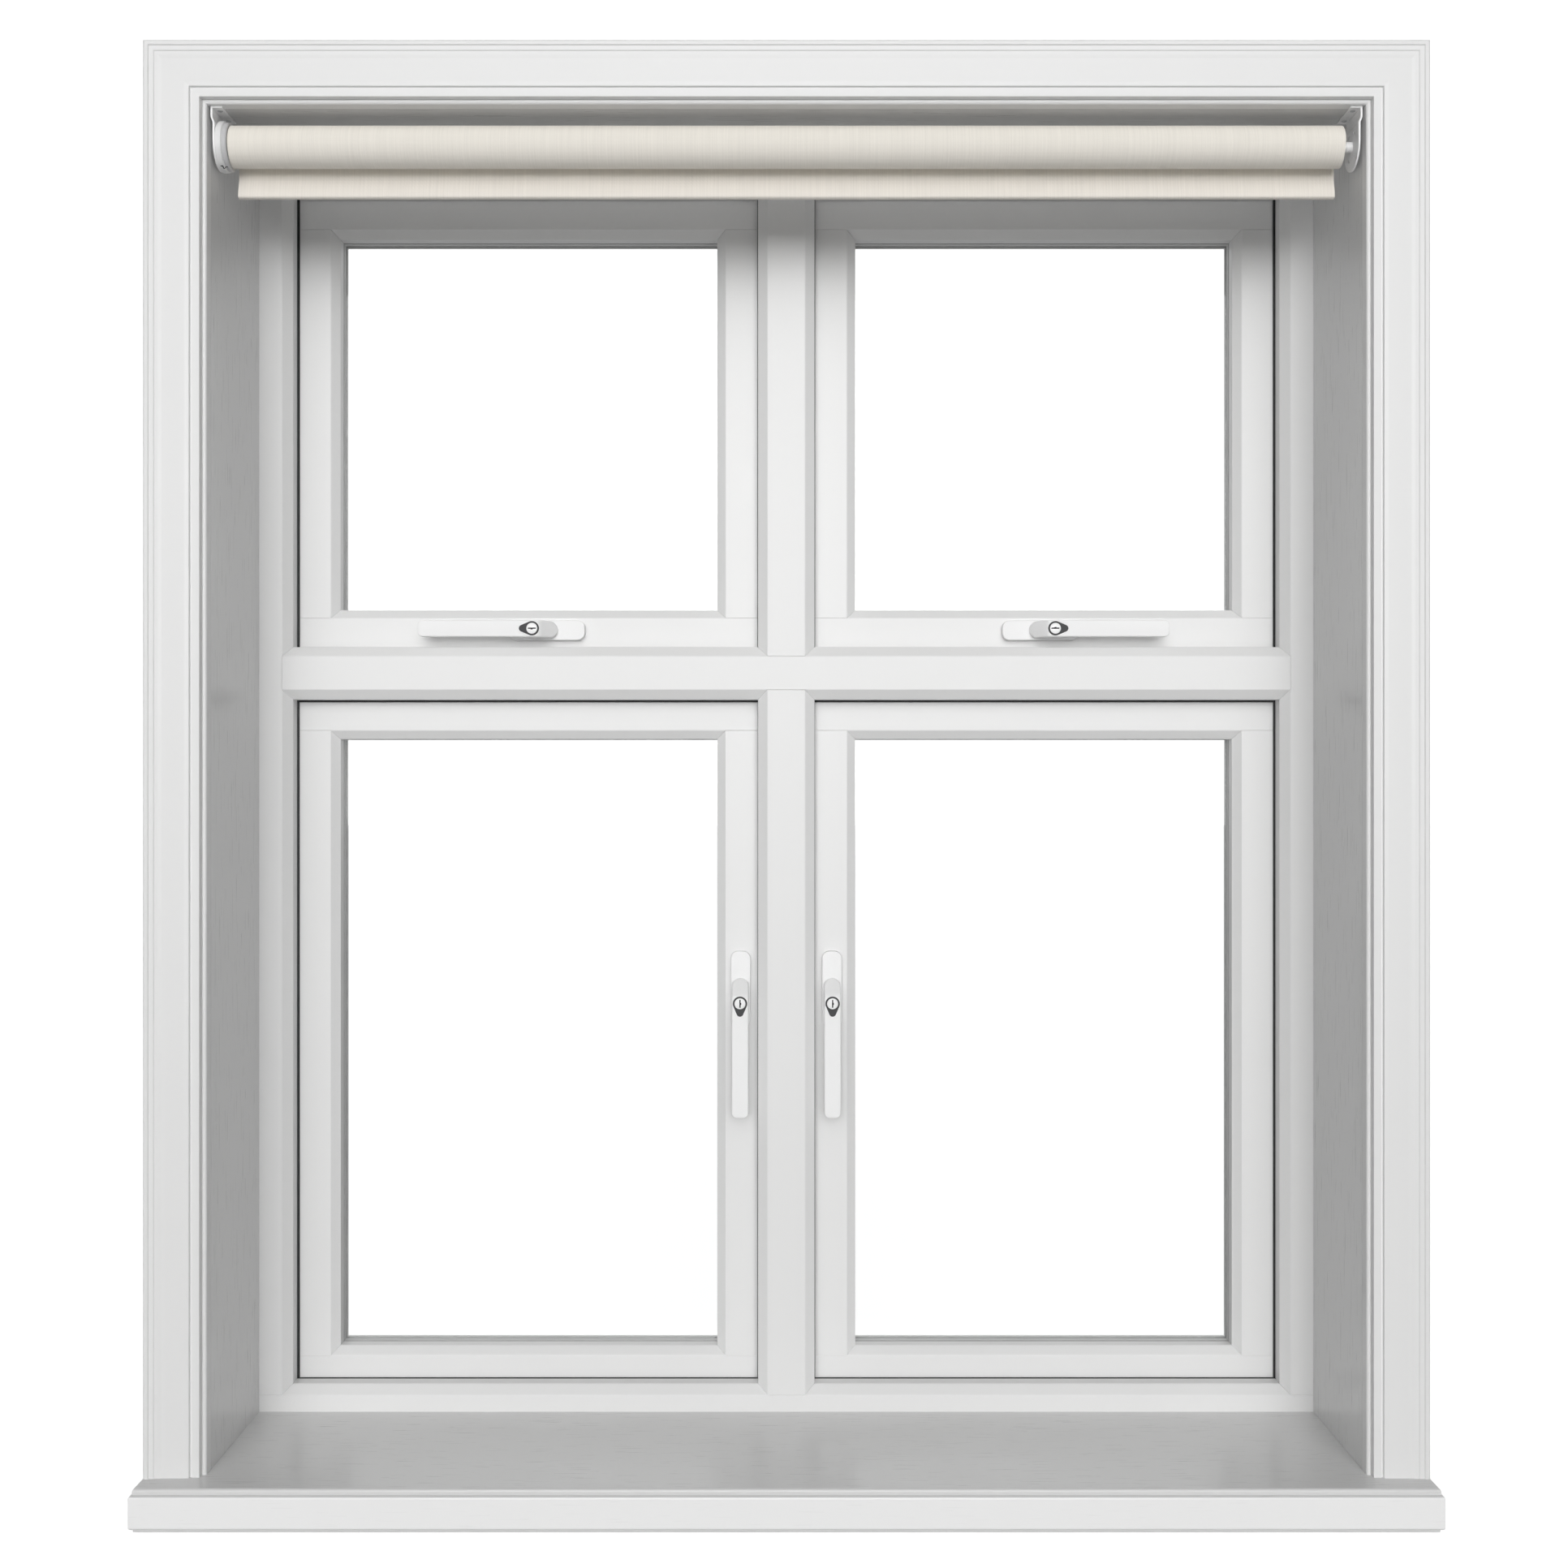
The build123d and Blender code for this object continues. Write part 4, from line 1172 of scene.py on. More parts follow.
@dataclass
class LockingHandle:
    """Espagnolette handle: plate, gear case, lever, lock surround and key cylinder.

    Lengths run along the lever from its pivot (x), across it (y) and out from the sash (z).
    """

    finishes: Finishes
    plate: tuple[float, float, float] = (80.0 * MM, 20.8 * MM, 10.0 * MM)
    plate_corner: float = 7.8 * MM
    plate_edge: float = 0.9 * MM
    plate_lift: float = 10.3 * MM
    half_width: float = 8.6 * MM
    hub: float = -12.0 * MM
    hub_arc: float = 7.0 * MM
    reach: float = 131.0 * MM
    end_round: float = 5.0 * MM
    top: float = 35.0 * MM
    under: float = 26.0 * MM
    slope_start: float = 13.8 * MM
    slope_end: float = 4.7 * MM
    foot_end: float = 21.0 * MM
    foot_round: float = 6.0 * MM
    edge: float = 1.1 * MM
    slope_edge: float = 2.4 * MM
    lock_at: float = 12.3 * MM
    lock_radius: float = 5.7 * MM
    ring_radius: float = 7.45 * MM
    tip: float = 13.4 * MM
    tip_radius: float = 3.6 * MM
    lock_depth: float = 19.0 * MM
    cap_rise: float = 0.35 * MM
    inlay_depth: float = 0.6 * MM
    inlay_rise: float = 0.12 * MM
    inlay_gap: float = 0.08 * MM
    slot_ends: tuple[float, float] = (-4.2 * MM, 4.0 * MM)
    slot_half: float = 0.65 * MM
    slot_depth: float = 5.0 * MM
    notch_ends: tuple[float, float] = (-1.0 * MM, 1.2 * MM)
    notch_reach: float = 1.3 * MM
    neck: float = 6.0 * MM
    neck_clearance: float = 0.05 * MM
    gear: tuple[float, float, float] = (70.0 * MM, 34.0 * MM, 14.0 * MM)
    gear_edge: float = 20.0 * MM
    gear_sink: float = 10.5 * MM
    gear_bore: float = 5.45 * MM

    def half_at(self, x: float) -> float:
        """Half the lever's width at x, with its round ends.

        Args:
            x: the place along the lever.

        Returns:
            The half width in metres.
        """
        start = x - self.hub
        if start < self.hub_arc:
            return self.half_width * math.sqrt(max(0.0, 1 - (1 - start / self.hub_arc) ** 2))
        past = x - (self.reach - self.end_round)
        if past > 0:
            flat = self.half_width - self.end_round
            return flat + math.sqrt(max(0.0, self.end_round**2 - past**2))
        return self.half_width

    def top_at(self, x: float) -> float:
        """Height of the lever's front at x: a slope from the hub that turns into the flat arm.

        Args:
            x: the place along the lever.

        Returns:
            The height above the sash in metres.
        """
        rise = (self.top - self.slope_start) / (self.slope_end - self.hub)
        line = self.slope_start + (x - self.hub) * rise
        blend = 3.0 * MM
        gap = (line - self.top) / blend
        if gap > 1:
            return self.top
        if gap < -1:
            return line
        return line - blend * (gap + 1) ** 2 / 4

    def under_at(self, x: float) -> float:
        """Height of the lever's underside at x: hub foot, then the arm with a fillet.

        Args:
            x: the place along the lever.

        Returns:
            The height above the sash in metres.
        """
        if x < self.foot_end:
            return self.plate_lift
        past = self.foot_round - (x - self.foot_end)
        if past <= 0:
            return self.under
        return self.under - (self.foot_round - math.sqrt(self.foot_round**2 - past**2))

    def stations(self) -> list[float]:
        """Places of the sections along the lever.

        Returns:
            Places on x, in order.
        """
        hub_arc = [self.hub + self.hub_arc * (1 - math.cos(math.radians(a)))
                   for a in (7, 14, 22, 32, 42, 54, 66, 78, 90)]
        slope = [self.slope_end + d * MM for d in (-4.5, -3, -1.6, 0, 1.4, 3.0, 5.0)]
        foot = [self.foot_end - 0.02 * MM, self.foot_end, self.foot_end + 1 * MM,
                self.foot_end + 2.5 * MM, self.foot_end + self.foot_round]
        arm = [self.reach * share for share in (0.3, 0.5, 0.7, 0.85)]
        end_arc = [self.reach - self.end_round + self.end_round * math.sin(math.radians(a))
                   for a in (0, 20, 40, 58, 74, 86)]
        return sorted(hub_arc + slope + foot + arm + end_arc)

    def drop_outline(self, grow: float, low: float, high: float) -> bmesh.types.BMesh:
        """A drop-shaped plate around the lock.

        Args:
            grow: how far its outline stands outside the drop.
            low: its underside.
            high: its front.

        Returns:
            The mesh.
        """
        bm = bmesh.new()
        ring = bmesh.ops.create_circle(bm, cap_ends=True, segments=72, radius=1.0)["verts"]
        tip_centre = self.tip - self.tip_radius
        touch = (self.ring_radius - self.tip_radius) / tip_centre
        for vert in ring:
            ahead = vert.co.x > touch
            radius = (self.tip_radius if ahead else self.ring_radius) + grow
            vert.co *= radius
            vert.co.x += self.lock_at + (tip_centre if ahead else 0.0)
            vert.co.z = low
        faces = list(bm.faces)
        raised = bmesh.ops.extrude_face_region(bm, geom=faces)
        moved = [g for g in raised["geom"] if isinstance(g, bmesh.types.BMVert)]
        bmesh.ops.translate(bm, verts=moved, vec=(0, 0, high - low))
        bmesh.ops.recalc_face_normals(bm, faces=bm.faces)
        return bm

    def bore(self, radius: float, low: float, high: float) -> bmesh.types.BMesh:
        """A round cutter or barrel on the lock's axis.

        Args:
            radius: its radius.
            low: its lower end.
            high: its upper end.

        Returns:
            The mesh.
        """
        bm = bmesh.new()
        add_rod(bm, Vector((self.lock_at, 0, low)), Vector((self.lock_at, 0, high)),
                (radius, radius), 48)
        return bm

    def lever(self) -> bmesh.types.BMesh:
        """The lever with its recess and lock bore.

        Returns:
            The mesh.
        """
        loft = Loft(32)
        for x in self.stations():
            on_slope = min(1.0, max(0.0, (self.slope_end + 6 * MM - x) / (10 * MM)))
            corner = self.edge + (self.slope_edge - self.edge) * on_slope
            loft.section(x, self.half_at(x), self.under_at(x), self.top_at(x), corner)
        body = loft.close()
        recess = self.drop_outline(self.inlay_gap, self.top - self.inlay_depth,
                                   self.top + 2 * MM)
        hole = self.bore(self.lock_radius + 0.05 * MM, self.top - self.lock_depth - 0.1 * MM,
                         self.top + 2 * MM)
        return carved(body, [recess, hole])

    def lever_neck(self) -> bmesh.types.BMesh:
        """Round neck and square spindle below the lever.

        Returns:
            The mesh.
        """
        bm = bmesh.new()
        neck = self.neck - self.neck_clearance
        add_rod(bm, Vector((0, 0, self.plate_lift - 7 * MM)), Vector((0, 0, self.plate_lift)),
                (neck, neck), 40)
        half = 3.5 * MM
        spindle = add_box(bm, Vector((-half, -half, -23 * MM)), Vector((half, half, 3.3 * MM)), 1)
        soften_edges(bm, edges_of(spindle), 0.4 * MM, 2)
        return bm

    def surround(self) -> bmesh.types.BMesh:
        """Dark drop-shaped inlay with a bored ring."""
        plate = self.drop_outline(0.0, self.top - self.inlay_depth, self.top + self.inlay_rise)
        return carved(plate, [self.bore(self.lock_radius + 0.1 * MM, 0, self.top + 2 * MM)])

    def cylinder(self) -> bmesh.types.BMesh:
        """Key cylinder: a barrel with a softly rounded cap and a stepped key slot whose walls are
        near-black as painted shade.

        Returns:
            The mesh.
        """
        front = self.top + self.cap_rise
        barrel = self.bore(self.lock_radius, self.top - self.lock_depth, front)
        soften_edges(barrel, top_edges(barrel, front), 0.5 * MM, 3)
        deep = front - self.slot_depth
        cuts = []
        # The slot's walls take the near-black material, painted shade.
        for ends, reach in ((self.slot_ends, self.slot_half), (self.notch_ends, self.notch_reach)):
            cut = bmesh.new()
            add_box(cut, Vector((self.lock_at + ends[0], -self.slot_half, deep)),
                    Vector((self.lock_at + ends[1], reach, front + MM)), 1)
            cuts.append(cut)
        return carved(barrel, cuts)

    def backplate(self) -> bmesh.types.BMesh:
        """Plate with round ends and a soft front edge, bored for the neck.

        Returns:
            The mesh.
        """
        length, width, rise = self.plate
        bm = bmesh.new()
        add_box(bm, Vector((-length / 2, -width / 2, 0)), Vector((length / 2, width / 2, rise)))
        corners = [e for e in bm.edges if abs(e.verts[0].co.z - e.verts[1].co.z) > rise / 2]
        soften_edges(bm, corners, self.plate_corner, 12)
        soften_edges(bm, top_edges(bm, rise), self.plate_edge, 5)
        cutter = bmesh.new()
        neck = self.neck + self.neck_clearance
        add_rod(cutter, Vector((0, 0, -MM)), Vector((0, 0, rise + MM)), (neck, neck), 40)
        return carved(bm, [cutter])

    def gear_case(self) -> bmesh.types.BMesh:
        """Pressed case of the locking gear, bored for the spindle.

        Returns:
            The mesh.
        """
        length, width, depth = self.gear
        bm = bmesh.new()
        case = add_box(bm, Vector((-length / 2, self.gear_edge - width, -self.gear_sink - depth)),
                       Vector((length / 2, self.gear_edge, -self.gear_sink)))
        soften_edges(bm, edges_of(case), 0.8 * MM, 2)
        hole = bmesh.new()
        add_rod(hole, DOWN * 2 * (self.gear_sink + depth), Vector(),
                (self.gear_bore, self.gear_bore), 24)
        return carved(bm, [hole])

    def place(self, name: SashName) -> Matrix:
        """Where a handle sits: on its sash's face, at the pivot that its lock cylinder gives.

        Args:
            name: the sash.

        Returns:
            The transform from the handle's own axes.
        """
        low, high = node_box(f"{name.value}_lock_cylinder")
        pivot = (low + high) / 2 - name.lever_way * self.lock_at
        pivot.y = node_box(f"{name.value}_rails")[0].y
        across = ROOM.cross(name.lever_way)
        turn = Matrix((name.lever_way, across, ROOM)).transposed().to_4x4()
        return Matrix.Translation(pivot) @ turn

    def pieces(self) -> list[HandlePiece]:
        """The six pieces, in the handle's own axes.

        Returns:
            The pieces, whose shapes are freed by whoever fits them.
        """
        finishes = self.finishes
        return [
            HandlePiece("handle_plate", self.backplate(), [finishes.enamel], "sash",
                        "handle_enamel", stands_for=("handle_base",)),
            HandlePiece("gear_case", self.gear_case(), [finishes.zinc], "sash", "zinc_steel"),
            HandlePiece("handle_lever", self.lever(), [finishes.enamel], "handle",
                        "handle_enamel", 42, ("lever",)),
            HandlePiece("handle_spindle", self.lever_neck(), [finishes.enamel, finishes.zinc],
                        "handle", "zinc_steel"),
            HandlePiece("lock_surround", self.surround(), [finishes.surround], "handle",
                        "blind_plastic"),
            HandlePiece("key_cylinder", self.cylinder(), [finishes.lock, finishes.slot_painted_shade],
                        "key_lock", "lock_white", stands_for=("lock_cylinder",)),
        ]

    def fit(self) -> None:
        """Build the pieces once and fit them to each sash."""
        pieces = self.pieces()
        for name in SashName:
            prefix = name.value
            place = self.place(name)
            for piece in pieces:
                bm = piece.shape.copy()
                if piece.name == "gear_case" and self.lock_side(name) < 0:
                    bmesh.ops.scale(bm, vec=(1, -1, 1), verts=bm.verts)
                    bmesh.ops.reverse_faces(bm, faces=bm.faces)
                bmesh.ops.transform(bm, matrix=place, verts=bm.verts)
                piece_from(bm, f"{prefix}_{piece.name}", piece.materials, f"{prefix}_{piece.body}",
                           piece.smooth_angle,
                           [f"{prefix}_{node}" for node in piece.stands_for])
        for piece in pieces:
            piece.shape.free()

    def lock_side(self, name: SashName) -> int:
        """1 where the sash's lock edge is on the handle's +y side, otherwise -1."""
        across = ROOM.cross(name.lever_way)
        return 1 if across.dot(-name.hinge_way) > 0 else -1


# ------------------------------------------------------------------ roller blind


@dataclass
class RollerBlind:
    """Brackets, clutch, tube, wound cloth, drop and hem pocket."""

    finishes: Finishes
    cloth_thickness: float = 0.42 * MM
    cloth_pitch: float = 0.5 * MM
    end_wander: float = 0.35 * MM
    hem_turn: float = 2.0 * MM
    hem_lap: float = 0.45 * MM
    hem_steps: int = 14
    turn_steps: int = 12
    lath_height: float = 9.0 * MM
    lath_half: float = 1.3 * MM
    lath_lift: float = 1.2 * MM
    cap_length: float = 4.0 * MM
    cap_stand: float = 0.4 * MM
    clutch_ring: float = 4.4 * MM
    slot_circle: float = 14.2 * MM
    slot_bearings: tuple[float, ...] = (52, 128, 232, 308)
    # Strokes of the chain slot in millimetres: x0, x1 from the step, y0, y1 from the axis.
    chain_hook: tuple[tuple[float, float, float, float], ...] = (
        (-3.8, -1.3, -11.6, -10.4), (-2.3, -1.2, -11.6, -7.4), (-2.3, 2.2, -8.4, -7.3))

    def __post_init__(self) -> None:
        """Read the roll, drop and hem from the frame."""
        self.roll_low, self.roll_high = node_box("blind_fabric_roll")
        self.tube_low, self.tube_high = node_box("blind_tube")
        self.drop_low, self.drop_high = node_box("blind_fabric_drop")
        self.hem_low, self.hem_high = node_box("blind_hem_bar")
        self.axis = (self.roll_low + self.roll_high) / 2
        self.roll_radius = (self.roll_high.z - self.roll_low.z) / 2
        self.tube_radius = (self.tube_high.z - self.tube_low.z) / 2
        self.roll_run = self.wound_run(self.axis + Vector((0, self.roll_radius, 0)))

    def add_uv(self, bm: bmesh.types.BMesh, run: Callable[[Vector], float]) -> None:
        """Lay the weave: u along the blind's width, v along the cloth.

        Args:
            bm: the mesh.
            run: the distance along the cloth at a point.
        """
        layer = bm.loops.layers.uv.new("weave")
        for face in bm.faces:
            for loop in face.loops:
                loop[layer].uv = (loop.vert.co.x, run(loop.vert.co))

    def wound_run(self, point: Vector) -> float:
        """Distance along the wound cloth at a point of the roll."""
        radius = math.hypot(point.y - self.axis.y, point.z - self.axis.z)
        return math.pi * (radius**2 - self.tube_radius**2) / self.cloth_pitch

    def hanging_run(self, point: Vector) -> float:
        """Distance along the cloth at a point below the roll."""
        return self.roll_run + (self.axis.z - point.z)

    def wind_roll(self) -> None:
        """Cloth wound on the tube as one spiral, its last turn leaving at the back."""
        turns = (self.roll_radius - self.tube_radius - 0.1 * MM) / self.cloth_pitch
        steps = 56
        count = int(turns * steps)
        bm = bmesh.new()
        left: list[bmesh.types.BMVert] = []
        for i in range(count + 1):
            angle = 2 * math.pi * (i - count) / steps
            radius = self.roll_radius - self.cloth_thickness / 2 - self.cloth_pitch * (count - i) / steps
            wander = self.end_wander * 0.5 * (1 + math.sin(0.9 * angle) * math.sin(0.31 * angle))
            left.append(bm.verts.new((self.roll_low.x + wander, self.axis.y + radius * math.cos(angle),
                                      self.axis.z - radius * math.sin(angle))))
        edges = [bm.edges.new((a, b)) for a, b in zip(left, left[1:])]
        width = self.roll_high.x - self.roll_low.x
        for share in (0.004, 0.33, 0.66, 0.996, 1.0):
            edges, row = pulled(bm, edges)
            for vert in row:
                vert.co.x = self.roll_low.x + width * share
        for vert in row:
            angle = math.atan2(self.axis.z - vert.co.z, vert.co.y - self.axis.y)
            vert.co.x = self.roll_high.x - self.end_wander * (0.5 + 0.4 * math.sin(3 * angle))
        self.add_uv(bm, self.wound_run)
        bm = thickened(bm, self.cloth_thickness)
        roll = piece_from(bm, "blind_wound_cloth", [self.finishes.cloth], "blind_roller",
                          50, ["blind_fabric_roll"])
        log.info("wound cloth flat %.3f x %.3f m", width, self.roll_run)

    def hang_drop(self) -> None:
        """The flat cloth between the roll and the hem pocket."""
        bm = bmesh.new()
        size = self.drop_high - self.drop_low
        middle = (self.drop_low + self.drop_high) / 2
        place = (Matrix.Translation(middle) @ Matrix.Rotation(math.pi / 2, 4, "X")
                 @ Matrix.Diagonal((size.x, size.z, 1, 1)))
        bmesh.ops.create_grid(bm, x_segments=72, y_segments=28, size=0.5, matrix=place)
        self.add_uv(bm, self.hanging_run)
        bm = thickened(bm, self.cloth_thickness)
        drop = piece_from(bm, "blind_drop_cloth", [self.finishes.cloth], None, 40,
                          ["blind_fabric_drop"])
        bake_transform(drop)
        log.info("drop cloth flat %.3f x %.4f m", size.x, size.z)

    def sew_hem(self) -> None:
        """The hem pocket: cloth that widens from the drop around a flat bar."""
        low, high = self.hem_low, self.hem_high
        wall = self.cloth_thickness / 2
        back = high.y - wall
        front = low.y + wall
        foot = low.z + wall
        sheet_y = (self.drop_low.y + self.drop_high.y) / 2
        height = high.z - foot
        shares = [i / self.hem_steps for i in range(self.hem_steps + 1)]

        def wall_at(share: float, top_y: float, foot_y: float) -> Vector:
            """A point of a pocket wall that swells from the sheet to its foot.

            Args:
                share: how far down the pocket, 0 to 1.
                top_y: its depth at the top.
                foot_y: its depth at the foot.

            Returns:
                The point, across the blind.
            """
            swell = 0.5 - 0.5 * math.cos(share * math.pi)
            return Vector((0, top_y + (foot_y - top_y) * swell,
                           high.z - (height - self.hem_turn) * share))

        outline = [wall_at(share, sheet_y, front) for share in shares]
        for i in range(1, self.turn_steps):
            angle = math.pi * i / self.turn_steps
            outline.append(Vector((0, (front + back) / 2 - (back - front) / 2 * math.cos(angle),
                                   foot + self.hem_turn * (1 - math.sin(angle)))))
        outline += [wall_at(share, sheet_y + self.hem_lap, back) for share in reversed(shares)]
        bm = bmesh.new()
        verts = [bm.verts.new(p + Vector((low.x, 0, 0))) for p in outline]
        edges = [bm.edges.new(pair) for pair in zip(verts, verts[1:])]
        width = high.x - low.x
        cuts = 72
        for _ in range(cuts):
            edges, row = pulled(bm, edges)
            bmesh.ops.translate(bm, verts=row, vec=(width / cuts, 0, 0))
        for vert in bm.verts:
            drift = math.sin(vert.co.x * 19) * math.sin(vert.co.x * 7.3 + 1)
            hang = (high.z - vert.co.z) / height
            vert.co.y += 0.25 * MM * drift * hang
        self.add_uv(bm, self.hanging_run)
        bm = thickened(bm, self.cloth_thickness)
        pocket = piece_from(bm, "blind_hem_pocket", [self.finishes.hem_cloth], "blind_hem",
                            50, ["blind_hem_bar"])

    def hem_lath(self) -> None:
        """Flat bar in the pocket with a plastic cap at each end."""
        low, high = self.hem_low, self.hem_high
        middle_y = (low.y + high.y) / 2
        bm = bmesh.new()
        foot = low.z + self.lath_lift
        top = foot + self.lath_height
        half = self.lath_half
        bar = add_box(bm, Vector((low.x + MM, middle_y - half, foot)),
                      Vector((high.x - MM, middle_y + half, top)), 0)
        soften_edges(bm, edges_of(bar), 0.5 * MM, 2)
        stand = self.cap_stand
        for x in (low.x, high.x - self.cap_length):
            cap = add_box(bm, Vector((x, middle_y - half - stand, foot - stand)),
                          Vector((x + self.cap_length, middle_y + half + stand, top + stand)), 1)
            soften_edges(bm, edges_of(cap), 0.7 * MM, 3)
        piece_from(bm, "blind_hem_lath", [self.finishes.tube, self.finishes.clutch], "blind_hem",
                   35)

    def build_clutch(self) -> None:
        """Turned clutch: a broad ring at the bracket, a narrower inner ring in a darker grey as painted
        shade, and a hooked chain slot with near-black walls as painted shade.
        """
        low, high = node_box("blind_clutch")
        outer = (high.z - low.z) / 2
        start = low.x
        rim_end = self.roll_low.x - 0.3 * MM
        step = rim_end - self.clutch_ring
        inner = outer - 1.3 * MM
        profile = [
            (start, 6.0), (start, outer / MM - 0.8), (start + 0.8 * MM, outer / MM),
            (step - 0.9 * MM, outer / MM), (step - 0.2 * MM, outer / MM - 0.6),
            (step + 0.1 * MM, inner / MM - 0.1), (step + 0.7 * MM, inner / MM),
            (rim_end - 0.9 * MM, inner / MM), (rim_end, inner / MM - 0.9),
            (rim_end, self.tube_radius / MM - 1.3), (high.x - 1.0 * MM, self.tube_radius / MM - 1.3),
            (high.x, self.tube_radius / MM - 2.2), (high.x, 6.0),
        ]
        bm = bmesh.new()
        verts = [bm.verts.new((x, self.axis.y, self.axis.z + radius * MM)) for x, radius in profile]
        edges = [bm.edges.new(pair) for pair in zip(verts, verts[1:])]
        edges.append(bm.edges.new((verts[-1], verts[0])))
        bmesh.ops.spin(bm, geom=verts + edges, cent=self.axis, axis=RIGHT, dvec=(0, 0, 0),
                       angle=2 * math.pi, steps=72, use_merge=True, use_normal_flip=False,
                       use_duplicate=False)
        bmesh.ops.remove_doubles(bm, verts=bm.verts, dist=1e-6)
        bmesh.ops.recalc_face_normals(bm, faces=bm.faces)
        # Painted shade: faces past the step take the darker inner-ring grey.
        for face in bm.faces:
            face.material_index = 1 if face.calc_center_median().x > step + 0.2 * MM else 0
        foot = self.axis.z - outer - MM
        # The chain slot's walls take the near-black material, painted shade.
        hook = []
        for x0, x1, y0, y1 in self.chain_hook:
            cut = bmesh.new()
            add_box(cut, Vector((step + x0 * MM, self.axis.y + y0 * MM, foot)),
                    Vector((step + x1 * MM, self.axis.y + y1 * MM, foot + 6 * MM)), 2)
            hook.append(cut)
        body = carved(bm, hook)
        piece_from(body, "blind_control_clutch",
                   [self.finishes.clutch, self.finishes.clutch_inner_painted_shade, self.finishes.slot_painted_shade], "frame",
                   35, ["blind_clutch"])

    def fit_brackets(self) -> None:
        """Pressed brackets with eased edges, four slots around the pin and flange screws."""
        for side in ("left", "right"):
            node = f"blind_bracket_{side}"
            plate = carved(softened_mesh(node, 0.15 * MM), self.bracket_slots(node))
            piece_from(plate, f"{node}_finished", [self.finishes.bracket], "frame",
                       None, [node])
        bm = bmesh.new()
        screw = Screw(2.9 * MM, 0.6 * MM, 0.5 * MM)
        head = screw.head()
        for side, sign in (("left", -1), ("right", 1)):
            low, high = node_box(f"blind_bracket_{side}")
            flange_under = high.z - 1.5 * MM
            inner_edge = high.x if sign < 0 else low.x
            if side == "right":
                inner_edge = -node_box("blind_bracket_left")[1].x
            x = inner_edge + sign * 4.6 * MM
            for share in (0.2, 0.8):
                spot = Vector((x, low.y + (high.y - low.y) * share, flange_under))
                merged(bm, head, facing(DOWN, spot, share), 0)
        head.free()
        piece_from(bm, "blind_bracket_screws", [self.finishes.zinc], "frame", 30)

    def bracket_slots(self, node: str) -> list[bmesh.types.BMesh]:
        """Four slots around the pin, for the other kinds of roller end.

        Args:
            node: the bracket's CAD node.

        Returns:
            The cutters.
        """
        low, high = node_box(node)
        cutters = []
        for angle in self.slot_bearings:
            way = Vector((0, math.cos(math.radians(angle)), math.sin(math.radians(angle))))
            spot = Vector(((low.x + high.x) / 2, self.axis.y, self.axis.z)) + way * self.slot_circle
            reach = Vector(((high.x - low.x), 2.3 * MM, 0.9 * MM))
            cutter = bmesh.new()
            block = add_box(cutter, spot - reach, spot + reach)
            turn = Matrix.Rotation(math.radians(angle + 90), 4, "X")
            bmesh.ops.rotate(cutter, cent=spot, matrix=turn, verts=block)
            cutters.append(cutter)
        return cutters

    def build(self) -> None:
        """Make every piece of the blind."""
        self.wind_roll()
        self.hem_lath()
        self.hang_drop()
        self.sew_hem()
        self.build_clutch()
        self.fit_brackets()
        paint_node("blind_tube", self.finishes.tube)


# ------------------------------------------------------------------ studio


@dataclass(frozen=True)
class Lobe:
    """A soft patch of the studio's light."""

    height: float
    bearing: float
    sharpness: float
    strength: float

    def build(self, tree: bpy.types.NodeTree, way: bpy.types.NodeSocket) -> bpy.types.NodeSocket:
        """Add its nodes.

        Args:
            tree: the world's node tree.
            way: the direction looked in.

        Returns:
            Its share of the light in that direction.
        """
        rise = math.radians(self.height)
        turn = math.radians(self.bearing)
        axis = (math.cos(rise) * math.sin(turn), -math.cos(rise) * math.cos(turn), math.sin(rise))
        value = way
        for operation, number in (("DOT_PRODUCT", axis), ("MAXIMUM", 0.0),
                                  ("POWER", self.sharpness), ("MULTIPLY", self.strength)):
            kind = "ShaderNodeVectorMath" if operation == "DOT_PRODUCT" else "ShaderNodeMath"
            step = tree.nodes.new(kind)
            step.operation = operation
            step.inputs[1].default_value = number
            tree.links.new(value, step.inputs[0])
            value = step.outputs["Value"]
        return value


